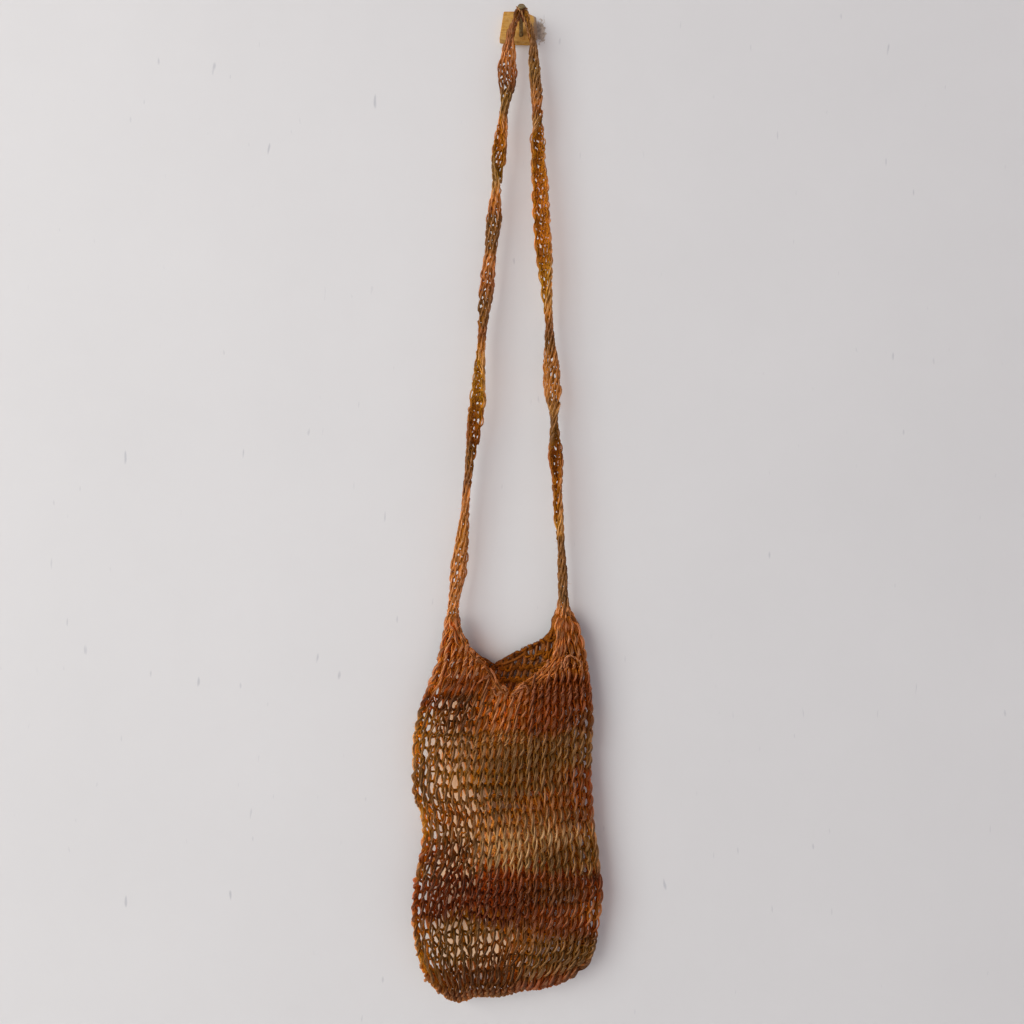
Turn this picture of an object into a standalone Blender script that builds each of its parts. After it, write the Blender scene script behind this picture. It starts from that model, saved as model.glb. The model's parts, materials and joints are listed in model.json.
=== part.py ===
"""A looped string bag that hangs empty by its strap from a nail in a small block.

Metres, +Z up. The origin is the centre of the block's flat back, on the wall plane y = 0.
The bag hangs in front of the wall, towards -Y, so "front" is the side that faces -Y.
"""

import math
from collections import namedtuple

import bmesh
import bpy
from mathutils import Vector

GAP = 0.0003  # between pieces that touch
MERGE = 0.00001  # points nearer than this become one

# The block that the nail is driven into.
BLOCK_DEPTH = 0.007
BLOCK_EDGE = 0.0009
BLOCK_EDGE_STEPS = 2
ROUND = 0.5  # a bevel's profile
BLOCK_OUTLINE = (  # x, z, clockwise as seen from the front
    (-0.0166, 0.0148),
    (0.0020, 0.0152),
    (0.0140, 0.0100),
    (0.0158, -0.0075),
    (0.0078, -0.0132),
    (-0.0120, -0.0128),
    (-0.0203, -0.0113),
)

# The nail, which slopes up and out of the block.
NAIL_RADIUS = 0.0018
NAIL_SLOPE = math.radians(30)
NAIL_ROOT = Vector((0.0, -0.0024, -0.0097))
NAIL_LENGTH = 0.0305
NAIL_SIDES = 20
HEAD_RADIUS = 0.0034
HEAD_THICK = 0.0013
HEAD_EDGE = 0.0004

# The strap: a flat looped band that turns over on itself on its way down.
Band = namedtuple("Band", "drop side wide thick turn")  # wide and thick are half sizes
Section = namedtuple("Section", "place wide thick turn facing")
FRONT = Vector((0, -1, 0))
STRAP_SIDES = 10
STRAP_STEP = 0.008
STRAP_DEPTH = -0.0195  # y of both hanging sides
CROWN_REACH = 0.0222  # how far in front of the wall the strap crosses the nail
CROWN_WIDE = 0.0059
CROWN_THICK = 0.0024
CROWN_GAP = 0.0004  # leaves about 0.3 mm at the flats of the strap's facets
CROWN_STEPS = 10
LEFT_BAND = (
    Band(0.016, -0.0096, 0.0055, 0.0028, 50),
    Band(0.043, -0.0138, 0.0080, 0.0023, 0),
    Band(0.068, -0.0153, 0.0062, 0.0026, -60),
    Band(0.090, -0.0168, 0.0048, 0.0026, -90),
    Band(0.118, -0.0188, 0.0068, 0.0024, -165),
    Band(0.155, -0.0218, 0.0048, 0.0026, -270),
    Band(0.181, -0.0240, 0.0074, 0.0023, -345),
    Band(0.222, -0.0272, 0.0042, 0.0032, -370),
    Band(0.255, -0.0300, 0.0068, 0.0024, -380),
    Band(0.284, -0.0320, 0.0048, 0.0028, -445),
    Band(0.315, -0.0345, 0.0043, 0.0032, -470),
    Band(0.350, -0.0370, 0.0070, 0.0024, -530),
    Band(0.378, -0.0392, 0.0068, 0.0025, -560),
    Band(0.412, -0.0422, 0.0050, 0.0028, -625),
    Band(0.443, -0.0458, 0.0040, 0.0028, -640),
    Band(0.475, -0.0485, 0.0050, 0.0030, -690),
    Band(0.512, -0.0515, 0.0064, 0.0026, -725),
    Band(0.538, -0.0537, 0.0046, 0.0032, -730),
    Band(0.5527, -0.0545, 0.0052, 0.0042, -720),
)
RIGHT_BAND = (
    Band(0.014, 0.0096, 0.0045, 0.0028, 70),
    Band(0.040, 0.0129, 0.0055, 0.0028, 35),
    Band(0.065, 0.0158, 0.0053, 0.0028, 20),
    Band(0.095, 0.0180, 0.0042, 0.0028, -75),
    Band(0.113, 0.0184, 0.0066, 0.0024, -155),
    Band(0.135, 0.0192, 0.0056, 0.0028, -172),
    Band(0.181, 0.0222, 0.0068, 0.0024, -185),
    Band(0.230, 0.0260, 0.0062, 0.0026, -198),
    Band(0.255, 0.0286, 0.0048, 0.0030, -230),
    Band(0.274, 0.0302, 0.0038, 0.0026, -270),
    Band(0.300, 0.0322, 0.0052, 0.0030, -310),
    Band(0.323, 0.0338, 0.0078, 0.0023, -360),
    Band(0.349, 0.0362, 0.0070, 0.0024, -380),
    Band(0.366, 0.0370, 0.0040, 0.0026, -450),
    Band(0.398, 0.0390, 0.0067, 0.0024, -525),
    Band(0.422, 0.0398, 0.0044, 0.0030, -550),
    Band(0.454, 0.0422, 0.0044, 0.0030, -585),
    Band(0.478, 0.0450, 0.0038, 0.0024, -630),
    Band(0.512, 0.0482, 0.0056, 0.0028, -700),
    Band(0.532, 0.0490, 0.0060, 0.0030, -718),
    Band(0.5527, 0.0494, 0.0092, 0.0042, -720),
)

# The pouch: its outline and fullness going down, and its edges going across.
Row = namedtuple("Row", "drop left right deep")  # deep is half the fullness
Edge = namedtuple("Edge", "across drop")  # across runs from -1, left, to 1, right
WALL = 0.0034
POUCH_DEPTH = -0.0190  # y of the pouch's middle
FOLD_RADIUS = 0.0054
FULL_BY = 0.625  # share of the way in from a fold at which the pouch is fullest
FOLD_STEPS = 3
ACROSS_STEPS = 18
UP_STEPS = 24
OUTLINE = (
    Row(0.553, -0.0600, 0.0592, 0.0050),
    Row(0.565, -0.0612, 0.0632, 0.0062),
    Row(0.580, -0.0650, 0.0675, 0.0080),
    Row(0.607, -0.0715, 0.0725, 0.0105),
    Row(0.636, -0.0830, 0.0760, 0.0118),
    Row(0.663, -0.0885, 0.0783, 0.0124),
    Row(0.700, -0.0900, 0.0782, 0.0126),
    Row(0.718, -0.0885, 0.0780, 0.0124),
    Row(0.738, -0.0795, 0.0778, 0.0120),
    Row(0.762, -0.0776, 0.0792, 0.0120),
    Row(0.785, -0.0815, 0.0822, 0.0122),
    Row(0.804, -0.0858, 0.0870, 0.0124),
    Row(0.836, -0.0864, 0.0848, 0.0118),
    Row(0.862, -0.0818, 0.0805, 0.0104),
    Row(0.880, -0.0745, 0.0718, 0.0090),
    Row(0.894, -0.0645, 0.0620, 0.0074),
    Row(0.912, -0.0570, 0.0560, 0.0060),
)
HALF_TOP = (OUTLINE[0].right - OUTLINE[0].left) / 2
FRONT_RIM = (
    Edge(-1.00, 0.553),
    Edge(-0.84, 0.553),
    Edge(-0.73, 0.567),
    Edge(-0.60, 0.580),
    Edge(-0.45, 0.589),
    Edge(-0.33, 0.595),
    Edge(-0.16, 0.610),
    Edge(0.00, 0.621),
    Edge(0.19, 0.610),
    Edge(0.30, 0.604),
    Edge(0.45, 0.594),
    Edge(0.54, 0.585),
    Edge(0.61, 0.570),
    Edge(0.67, 0.553),
    Edge(1.00, 0.553),
)
BACK_RIM = (
    Edge(-1.00, 0.553),
    Edge(-0.84, 0.553),
    Edge(-0.73, 0.571),
    Edge(-0.60, 0.584),
    Edge(-0.45, 0.594),
    Edge(-0.25, 0.601),
    Edge(-0.08, 0.5955),
    Edge(0.15, 0.5875),
    Edge(0.32, 0.5790),
    Edge(0.48, 0.5750),
    Edge(0.60, 0.5670),
    Edge(0.67, 0.5530),
    Edge(1.00, 0.5530),
)
BOTTOM = (
    Edge(-1.00, 0.8840),
    Edge(-0.90, 0.8980),
    Edge(-0.80, 0.9075),
    Edge(-0.65, 0.9105),
    Edge(-0.40, 0.9050),
    Edge(0.00, 0.9045),
    Edge(0.30, 0.8985),
    Edge(0.50, 0.8975),
    Edge(0.75, 0.8930),
    Edge(0.90, 0.8890),
    Edge(1.00, 0.8780),
)


def clear_scene():
    for obj in list(bpy.data.objects):
        bpy.data.objects.remove(obj, do_unlink=True)


def new_collection(name):
    collection = bpy.data.collections.new(name)
    bpy.context.scene.collection.children.link(collection)
    return collection


def make_material(name, colour, roughness, metallic=0.0):
    material = bpy.data.materials.new(name)
    material.use_nodes = True
    shader = material.node_tree.nodes["Principled BSDF"]
    shader.inputs["Base Color"].default_value = (*colour, 1)
    shader.inputs["Roughness"].default_value = roughness
    shader.inputs["Metallic"].default_value = metallic
    return material


def make_object(name, bm, material, collection):
    mesh = bpy.data.meshes.new(name)
    bm.to_mesh(mesh)
    bm.free()
    mesh.materials.append(material)
    obj = bpy.data.objects.new(name, mesh)
    collection.objects.link(obj)
    return obj


def between(rows, key, value):
    """The row of a table at a value of its key column, along a smooth curve through the rows."""
    last = len(rows) - 2
    i = next((n for n in range(last) if value < getattr(rows[n + 1], key)), last)
    low = getattr(rows[i], key)
    high = getattr(rows[i + 1], key)
    t = min(max((value - low) / (high - low), 0.0), 1.0)
    before, after = rows[max(i - 1, 0)], rows[min(i + 2, len(rows) - 1)]
    found = []
    for a, b, c, d in zip(before, rows[i], rows[i + 1], after):
        slope_in, slope_out = (c - a) / 2, (d - b) / 2
        found.append(
            b
            + t * slope_in
            + t * t * (3 * (c - b) - 2 * slope_in - slope_out)
            + t**3 * (2 * (b - c) + slope_in + slope_out)
        )
    return type(rows[0])(*found)


def straight_between(edge, across):
    """The drop of an edge at a place across the pouch, along straight lines between its rows."""
    for low, high in zip(edge, edge[1:]):
        if across <= high.across:
            t = (across - low.across) / (high.across - low.across)
            return low.drop + t * (high.drop - low.drop)
    return edge[-1].drop


def nail_axis():
    return Vector((0, -math.cos(NAIL_SLOPE), math.sin(NAIL_SLOPE)))


def make_block(collection, cutters):
    bm = bmesh.new()
    outline = [bm.verts.new((x, 0, z)) for x, z in BLOCK_OUTLINE]
    back = bm.faces.new(outline)
    front = bmesh.ops.extrude_face_region(bm, geom=[back])["geom"]
    moved = [v for v in front if isinstance(v, bmesh.types.BMVert)]
    bmesh.ops.translate(bm, verts=moved, vec=(0, -BLOCK_DEPTH, 0))
    bmesh.ops.recalc_face_normals(bm, faces=bm.faces)
    corners = [e for e in bm.edges if any(v.co.y < -BLOCK_DEPTH / 2 for v in e.verts)]
    bmesh.ops.bevel(
        bm,
        geom=corners,
        offset=BLOCK_EDGE,
        segments=BLOCK_EDGE_STEPS,
        profile=ROUND,
        affect="EDGES",
        clamp_overlap=True,
        material=-1,
    )
    material = make_material("ochre_wood", (0.42, 0.24, 0.06), 0.8)
    block = make_object("wall_block", bm, material, collection)

    drill = bmesh.new()
    bmesh.ops.create_cone(
        drill,
        cap_ends=True,
        segments=NAIL_SIDES,
        radius1=NAIL_RADIUS + GAP,
        radius2=NAIL_RADIUS + GAP,
        depth=2 * NAIL_LENGTH,
    )
    bmesh.ops.translate(drill, verts=drill.verts, vec=(0, 0, NAIL_LENGTH - GAP))
    hole = make_object("nail_hole", drill, material, cutters)
    hole.location = NAIL_ROOT
    hole.rotation_euler = (math.pi / 2 - NAIL_SLOPE, 0, 0)
    hole.hide_render = True
    hole.display_type = "WIRE"
    cut = block.modifiers.new("nail_hole", "BOOLEAN")
    cut.operation = "DIFFERENCE"
    cut.object = hole


def make_nail(collection):
    top = NAIL_LENGTH + HEAD_THICK
    profile = (
        (0, top),
        (HEAD_RADIUS - HEAD_EDGE, top),
        (HEAD_RADIUS, top - HEAD_EDGE),
        (HEAD_RADIUS, NAIL_LENGTH + HEAD_EDGE),
        (HEAD_RADIUS - HEAD_EDGE, NAIL_LENGTH),
        (NAIL_RADIUS, NAIL_LENGTH),
        (NAIL_RADIUS, 0),
        (0, 0),
    )
    bm = bmesh.new()
    points = [bm.verts.new((radius, 0, height)) for radius, height in profile]
    for a, b in zip(points, points[1:]):
        bm.edges.new((a, b))
    material = make_material("dull_steel", (0.16, 0.15, 0.12), 0.5, 0.9)
    nail = make_object("nail", bm, material, collection)
    nail.location = NAIL_ROOT
    nail.rotation_euler = (math.pi / 2 - NAIL_SLOPE, 0, 0)
    turned = nail.modifiers.new("turned", "SCREW")
    turned.steps = NAIL_SIDES
    turned.render_steps = NAIL_SIDES
    turned.use_merge_vertices = True
    turned.merge_threshold = MERGE


def strap_side(rows):
    """Sections down one side of the strap."""
    length = rows[-1].drop - rows[0].drop
    count = math.ceil(length / STRAP_STEP)
    sections = []
    for i in range(count + 1):
        drop = rows[0].drop + length * i / count
        row = between(rows, "drop", drop)
        place = Vector((row.side, STRAP_DEPTH, -drop))
        sections.append(Section(place, row.wide, row.thick, row.turn, FRONT))
    return sections


def strap_crown():
    """Sections over the nail, from left to right, square to the nail's axis."""
    axis = nail_axis()
    up = axis.cross(Vector((1, 0, 0)))
    along = (CROWN_REACH + NAIL_ROOT.y) / math.cos(NAIL_SLOPE)
    centre = NAIL_ROOT + axis * along
    radius = NAIL_RADIUS + CROWN_GAP + CROWN_THICK
    sections = []
    for i in range(CROWN_STEPS + 1):
        angle = math.pi * (1 - i / CROWN_STEPS)
        place = centre + radius * (Vector((math.cos(angle), 0, 0)) + up * math.sin(angle))
        sections.append(Section(place, CROWN_WIDE, CROWN_THICK, 90, axis))
    return sections


def grow_ring(bm, ring):
    """Extrudes a ring's edges and returns the new ring, in the same order."""
    edges = [e for e in bm.edges if all(v in ring for v in e.verts)]
    grown = bmesh.ops.extrude_edge_only(bm, edges=edges)["geom"]
    new = {v for v in grown if isinstance(v, bmesh.types.BMVert)}
    return [next(e.other_vert(v) for e in v.link_edges if e.other_vert(v) in new) for v in ring]


def place_strap_ring(ring, section, along):
    """Lays a ring round a section, square to the way that the strap runs there."""
    out = (section.facing - section.facing.project(along)).normalized()
    side = along.cross(out)
    turn = math.radians(section.turn)
    width = side * math.cos(turn) + out * math.sin(turn)
    depth = along.cross(width)
    for n, vertex in enumerate(ring):
        angle = 2 * math.pi * n / STRAP_SIDES
        across = width * section.wide * math.cos(angle)
        vertex.co = section.place + across + depth * section.thick * math.sin(angle)


def make_strap(collection):
    sections = [*reversed(strap_side(LEFT_BAND)), *strap_crown(), *strap_side(RIGHT_BAND)]
    bm = bmesh.new()
    ring = bmesh.ops.create_circle(bm, cap_ends=True, segments=STRAP_SIDES, radius=1)["verts"]
    place_strap_ring(ring, sections[0], Vector((0, 0, 1)))
    for before, section, after in zip(sections, sections[1:], sections[2:]):
        ring = grow_ring(bm, ring)
        place_strap_ring(ring, section, (after.place - before.place).normalized())
    ring = grow_ring(bm, ring)
    place_strap_ring(ring, sections[-1], Vector((0, 0, -1)))
    bm.faces.new(ring)
    bmesh.ops.recalc_face_normals(bm, faces=bm.faces)
    material = make_material("strap_yarn", (0.42, 0.16, 0.04), 0.9)
    strap = make_object("strap", bm, material, collection)
    strap.data.shade_smooth()


def fold_insets():
    """Distances in from the edge of a fold to the points that round it."""
    return [FOLD_RADIUS * (1 - math.cos(math.pi / 2 * n / FOLD_STEPS)) for n in range(FOLD_STEPS)]


def ring_places():
    """Going once round the pouch: (across, face), with face -1 at the front and 1 at the back."""
    left = [inset / HALF_TOP - 1 for inset in fold_insets()]
    right = [-across for across in reversed(left)]
    inner = 1 - FOLD_RADIUS / HALF_TOP
    middle = [inner * (2 * n / ACROSS_STEPS - 1) for n in range(ACROSS_STEPS + 1)]
    half = left + middle + right
    return [(across, -1) for across in half] + [(across, 1) for across in reversed(half[1:-1])]


def rise_steps():
    """Going up the pouch: (height above the bottom fold, share of the way to the rim)."""
    fold = [(inset, 0) for inset in fold_insets()]
    return fold + [(FOLD_RADIUS, n / UP_STEPS) for n in range(UP_STEPS + 1)]


def rounded(inset):
    """How full a fold is at a distance in from its edge: 0 at the edge, 1 past the fold."""
    if inset >= FOLD_RADIUS:
        return 1.0
    return math.sqrt(FOLD_RADIUS**2 - (FOLD_RADIUS - inset) ** 2) / FOLD_RADIUS


def pouch_place(across, face, height, rise):
    """A point of the pouch's outer surface."""
    low = straight_between(BOTTOM, across) - height
    rim = straight_between(FRONT_RIM if face < 0 else BACK_RIM, across)
    drop = low + (rim - low) * rise
    row = between(OUTLINE, "drop", drop)
    x = row.left + (row.right - row.left) * (across + 1) / 2
    inset = (1 - abs(across)) * HALF_TOP
    past_fold = (inset - FOLD_RADIUS) / (HALF_TOP - FOLD_RADIUS)
    swell = math.sin(min(max(past_fold, 0) / FULL_BY, 1) * math.pi / 2) ** 2
    fold = min(FOLD_RADIUS, row.deep)
    fullness = (fold * rounded(inset) + (row.deep - fold) * swell) * rounded(height)
    return Vector((x, POUCH_DEPTH + face * fullness, -drop))


def make_bag_body(collection):
    places = ring_places()
    bm = bmesh.new()
    ring = bmesh.ops.create_circle(bm, cap_ends=False, segments=len(places), radius=1)["verts"]
    for i, (height, rise) in enumerate(rise_steps()):
        if i:
            ring = grow_ring(bm, ring)
        for vertex, (across, face) in zip(ring, places):
            vertex.co = pouch_place(across, face, height, rise)
    bmesh.ops.remove_doubles(bm, verts=bm.verts, dist=MERGE)
    bmesh.ops.recalc_face_normals(bm, faces=bm.faces)
    material = make_material("bag_yarn", (0.34, 0.14, 0.04), 0.9)
    body = make_object("bag_body", bm, material, collection)
    body.data.shade_smooth()
    wall = body.modifiers.new("wall", "SOLIDIFY")
    wall.thickness = WALL
    wall.offset = -1
    wall.use_even_offset = False
    wall.use_quality_normals = True


def main():
    clear_scene()
    bag = new_collection("string_bag")
    cutters = new_collection("cutters")
    make_block(bag, cutters)
    make_nail(bag)
    make_strap(bag)
    make_bag_body(bag)


main()
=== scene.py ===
import json
import math
import random

import bmesh
import bpy
import numpy as np
from mathutils import Matrix, Vector, noise

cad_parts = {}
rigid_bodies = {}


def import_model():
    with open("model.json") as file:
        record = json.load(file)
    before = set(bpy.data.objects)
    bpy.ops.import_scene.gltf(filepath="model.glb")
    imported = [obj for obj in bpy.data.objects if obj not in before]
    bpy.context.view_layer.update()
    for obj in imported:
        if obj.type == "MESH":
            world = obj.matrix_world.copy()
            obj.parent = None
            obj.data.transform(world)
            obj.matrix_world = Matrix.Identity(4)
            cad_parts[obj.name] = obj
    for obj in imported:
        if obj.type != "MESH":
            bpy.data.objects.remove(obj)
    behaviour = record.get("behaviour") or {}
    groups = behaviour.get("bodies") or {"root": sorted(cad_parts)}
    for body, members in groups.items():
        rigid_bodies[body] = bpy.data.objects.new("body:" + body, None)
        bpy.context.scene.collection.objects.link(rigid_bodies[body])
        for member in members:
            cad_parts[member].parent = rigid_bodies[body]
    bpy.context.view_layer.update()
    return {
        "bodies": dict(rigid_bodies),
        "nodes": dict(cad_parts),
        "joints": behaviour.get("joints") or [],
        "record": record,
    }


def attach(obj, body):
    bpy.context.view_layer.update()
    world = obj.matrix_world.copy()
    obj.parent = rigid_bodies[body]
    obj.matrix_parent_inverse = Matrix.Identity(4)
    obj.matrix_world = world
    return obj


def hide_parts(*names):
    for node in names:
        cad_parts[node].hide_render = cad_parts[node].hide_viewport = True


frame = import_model()
scene = bpy.context.scene
noise.seed_set(5)  # noise_vector starts from the clock without it
print("frame loaded")

# ---- small tools


def mixed(a, b, share):
    return tuple(x + (y - x) * share for x, y in zip(a, b))


def scaled(values, by):
    return tuple(by * value for value in values)


def clamped(value, low=0.0, high=1.0):
    return min(max(value, low), high)


def eased(value, low, high):
    # 0 at low, 1 at high, smooth between
    t = clamped((value - low) / (high - low))
    return t * t * (3 - 2 * t)


def easedOut(value, low, high):
    return 1 - eased(value, low, high)


def wobble(*place):
    # smooth noise between -1 and 1, at three coordinates
    return noise.noise(Vector(place))


def rowBelow(rows, value):
    # the number of the row of a table from which a value of its first column is reached
    last = len(rows) - 2
    return next((n for n in range(last) if value < rows[n + 1][0]), last)


def smoothRow(rows, value):
    # the row of a table at a value of its first column, along a smooth curve through the rows
    i = rowBelow(rows, value)
    low, high = rows[i][0], rows[i + 1][0]
    t = clamped((value - low) / (high - low))
    before, after = rows[max(i - 1, 0)], rows[min(i + 2, len(rows) - 1)]
    found = []
    for a, b, c, d in zip(before, rows[i], rows[i + 1], after):
        leave, meet = (c - a) / 2, (d - b) / 2
        bend = 3 * (c - b) - 2 * leave - meet
        found.append(b + t * leave + t * t * bend + t**3 * (2 * (b - c) + leave + meet))
    return found


def lineAt(line, value):
    # the second column of a table at a value of its first, along straight lines
    for low, high in zip(line, line[1:]):
        if value <= high[0]:
            return low[1] + clamped((value - low[0]) / (high[0] - low[0])) * (high[1] - low[1])
    return line[-1][1]


def addObject(name, data):
    added = bpy.data.objects.new(name, data)
    scene.collection.objects.link(added)
    return added


def feedNode(tree, node, feeds):
    # inputs by name or number: a socket is linked to them, and any other value is set
    for key, value in dict(feeds).items():
        socket = node.inputs[key]
        if isinstance(value, bpy.types.NodeSocket):
            tree.links.new(value, socket)
        else:
            socket.default_value = (*value, 1) if socket.type == "RGBA" else value
    return node


def addNode(tree, kind, feeds=(), **settings):
    node = tree.nodes.new("ShaderNode" + kind)
    for name, value in settings.items():
        setattr(node, name, value)
    return feedNode(tree, node, feeds)


def mathNode(tree, operation, *values):
    return addNode(tree, "Math", enumerate(values), operation=operation).outputs[0]


def noiseNode(tree, vector, scale, detail, rough=0.6):
    feeds = {"Vector": vector, "Scale": scale, "Detail": detail, "Roughness": rough}
    return addNode(tree, "TexNoise", feeds).outputs["Fac"]


def rampNode(tree, value, low, high, toLow=0.0, toHigh=1.0):
    feeds = {"Value": value, "From Min": low, "From Max": high, "To Min": toLow, "To Max": toHigh}
    return addNode(tree, "MapRange", feeds).outputs[0]


def patches(tree, vector, settings):
    # patches of noise, from (scale, detail, the noise where they begin, and where they are full)
    scale, detail, low, high = settings
    return rampNode(tree, noiseNode(tree, vector, scale, detail), low, high)


def bumpNode(tree, height, strength, depth):
    feeds = {"Height": height, "Strength": strength, "Distance": depth}
    return addNode(tree, "Bump", feeds).outputs[0]


def mixColours(tree, share, first, second):
    return addNode(tree, "Mix", {0: share, 6: first, 7: second}, data_type="RGBA").outputs[2]


def mixShaders(tree, share, first, second, output):
    either = addNode(tree, "MixShader", {0: share, 1: first, 2: second})
    feedNode(tree, tree.nodes[output], {"Surface": either.outputs[0]})


def newMaterial(name):
    material = bpy.data.materials.new(name)
    material.use_nodes = True
    tree = material.node_tree
    return material, tree, tree.nodes["Principled BSDF"]


# ---- camera, light and stage

view = {
    "place": (-0.0013, -0.780, -0.456),
    "lens": 28.9,
    "sensor": 36.0,
    "roll": 0.91,  # degrees
}

lights = {
    "aim": (0, 0, -0.5),
    "windowPlace": (-3.35, -3.45, 0.57),
    "windowSize": 3.7,
    "windowPower": 190.0,
    "behindPlace": (1.6, 3.6, 1.9),
    "behindSize": 2.5,
    "behindPower": 76.0,
    "lampColour": (1.0, 1.0, 0.955),
    "skyColour": (0.92, 0.835, 0.925),
    "skyPower": 0.360,
    "backdrop": (0.800, 0.795, 0.800),  # the sky as it is seen, beside what it lights
}

stage = {
    "wallSize": 3.2,
    "wallPlace": 0.0004,  # y of the wall's face, just behind the block
    "floorSize": 8.0,
    "floorDrop": 1.10,
    "paint": (0.735, 0.730, 0.730),
    "paintRough": 0.7,
    "cloudShade": 0.96,
    "clouds": (3.0, 6.0, 0.3, 0.7),  # scale, detail, and the noise from which to which they come on
    "floorPaint": (0.72, 0.72, 0.73),
    "floorRough": 0.8,
    "scratch": (0.560, 0.560, 0.580),
    "scratches": (1.0, 1.0, 0.735, 0.80),
    "scratchScale": (150.0, 1.0, 38.0),
    "chipPlace": (0.0187, 0.0, 0.0000),
    "chipSize": (0.0046, 1.0, 0.0105),
    "chipEdge": (300.0, 4.0),
    "chipRagged": 2.2,
    "chipBorder": (0.0, -0.25),
    "chip": (0.560, 0.460, 0.370),
    "chipDark": (0.340, 0.275, 0.215),
    "speckle": (420.0, 3.0, 0.40, 0.60),
}


def addCamera(settings):
    lensData = bpy.data.cameras.new("camera")
    lensData.lens = settings["lens"]
    lensData.sensor_width = settings["sensor"]
    camera = addObject("camera", lensData)
    camera.location = settings["place"]
    camera.rotation_euler = (math.pi / 2, -math.radians(settings["roll"]), 0)
    scene.camera = camera


def addLights(settings):
    for name in ("window", "behind"):
        lamp = bpy.data.lights.new(name, "AREA")
        lamp.size = settings[name + "Size"]
        lamp.energy = settings[name + "Power"]
        lamp.color = settings["lampColour"]
        holder = addObject(name, lamp)
        holder.location = settings[name + "Place"]
        aim = Vector(settings["aim"]) - holder.location
        holder.rotation_euler = aim.to_track_quat("-Z", "Y").to_euler()
    sky = bpy.data.worlds.new("sky")
    scene.world = sky
    sky.use_nodes = True
    tree = sky.node_tree
    lit = tree.nodes["Background"]
    feedNode(tree, lit, {"Color": settings["skyColour"], "Strength": settings["skyPower"]})
    seen = addNode(tree, "Background", {"Color": settings["backdrop"]})
    fromCamera = addNode(tree, "LightPath").outputs["Is Camera Ray"]
    mixShaders(tree, fromCamera, lit.outputs[0], seen.outputs[0], "World Output")


def paintedWall(settings):
    material, tree, shader = newMaterial("wallPaint")
    place = addNode(tree, "TexCoord").outputs["Object"]
    faded = scaled(settings["paint"], settings["cloudShade"])
    colour = mixColours(tree, patches(tree, place, settings["clouds"]), faded, settings["paint"])
    # faint upright scratches
    stretched = addNode(tree, "Mapping", {"Vector": place, "Scale": settings["scratchScale"]}).outputs[0]
    colour = mixColours(tree, patches(tree, stretched, settings["scratches"]), colour, settings["scratch"])
    # a chipped place beside the block
    feeds = {"Vector": place, "Location": settings["chipPlace"], "Scale": settings["chipSize"]}
    around = addNode(tree, "Mapping", feeds, vector_type="TEXTURE").outputs[0]
    away = addNode(tree, "VectorMath", {0: around}, operation="LENGTH").outputs["Value"]
    edge = noiseNode(tree, place, *settings["chipEdge"])
    ragged = mathNode(tree, "MULTIPLY_ADD", edge, -settings["chipRagged"], away)
    speckle = patches(tree, place, settings["speckle"])
    chip = mixColours(tree, speckle, settings["chipDark"], settings["chip"])
    colour = mixColours(tree, rampNode(tree, ragged, *settings["chipBorder"]), colour, chip)
    feedNode(tree, shader, {"Base Color": colour, "Roughness": settings["paintRough"]})
    # seen from behind it is clear, and light from behind reaches the back of the bag
    fromBehind = addNode(tree, "NewGeometry").outputs["Backfacing"]
    shadow = addNode(tree, "LightPath").outputs["Is Shadow Ray"]
    clear = addNode(tree, "BsdfTransparent").outputs[0]
    opened = mathNode(tree, "MAXIMUM", fromBehind, shadow)
    mixShaders(tree, opened, shader.outputs[0], clear, "Material Output")
    return material


def addSheetOfStage(name, size, place, upright, material):
    mesh = bpy.data.meshes.new(name)
    bm = bmesh.new()
    bmesh.ops.create_grid(bm, x_segments=1, y_segments=1, size=size / 2)
    if upright:
        bmesh.ops.rotate(bm, verts=bm.verts, matrix=Matrix.Rotation(math.pi / 2, 3, "X"))
    bmesh.ops.translate(bm, verts=bm.verts, vec=place)
    bm.to_mesh(mesh)
    bm.free()
    mesh.materials.append(material)
    sheet = addObject(name, mesh)


def addStage(settings):
    wallPlace = (0, settings["wallPlace"], settings["wallSize"] / 2 - settings["floorDrop"])
    addSheetOfStage("wall", settings["wallSize"], wallPlace, True, paintedWall(settings))
    material, tree, shader = newMaterial("floorPaint")
    feedNode(tree, shader, {"Base Color": settings["floorPaint"], "Roughness": settings["floorRough"]})
    addSheetOfStage("floor", settings["floorSize"], (0, 0, -settings["floorDrop"]), False, material)


addCamera(view)
addLights(lights)
addStage(stage)
scene.view_settings.view_transform = "Standard"
print("stage set")

# ---- string: a two-ply yarn, given as a run of stops (place, dye, lift, fatness)
# lift says how far out of the fabric the stop lies: 0 deep, 1 on top; the finish paints deep string darker
# and string on top lighter and paler, as painted shade and highlight

string = {
    "thick": 0.0027,
    "turn": 0.0100,  # length in which the plies go once round each other
    "rings": 3,  # rings of the finished string for each stop
    "slub": 0.20,  # how much the thickness wanders
    "slubLong": 0.021,  # over these lengths
    "slubShort": 0.006,  # and half as much over these
    "section": ((1.0, 0.0), (0.66, 0.55), (0.0, 0.30), (-0.66, 0.55)),  # half of it, in half thicknesses
    "groove": (0, 0.4, 1, 0.4),  # how deep in the groove between the plies the same corners lie
    "mapLength": 0.1,  # length of string that fills its map once
    "mapStrip": (0.04, 0.92),  # where the string begins in a strip of its other map, and how wide it is
    "capScale": 0.01,  # of the end caps on both maps
}

shades = {
    "orange": (0.590, 0.182, 0.032),
    "copper": (0.700, 0.225, 0.044),
    "amber": (0.470, 0.150, 0.020),
    "gold": (0.560, 0.235, 0.040),
    "rust": (0.330, 0.072, 0.009),
    "maroon": (0.190, 0.036, 0.006),
    "brown": (0.210, 0.064, 0.010),
    "olive": (0.265, 0.114, 0.021),
    "drab": (0.350, 0.150, 0.036),
    "tan": (0.470, 0.200, 0.050),
    "sand": (0.660, 0.360, 0.130),
    # a dark brown put where the back lies in shade behind the mouth: painted shade
    "paintedShade": (0.110, 0.045, 0.018),
}


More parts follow.
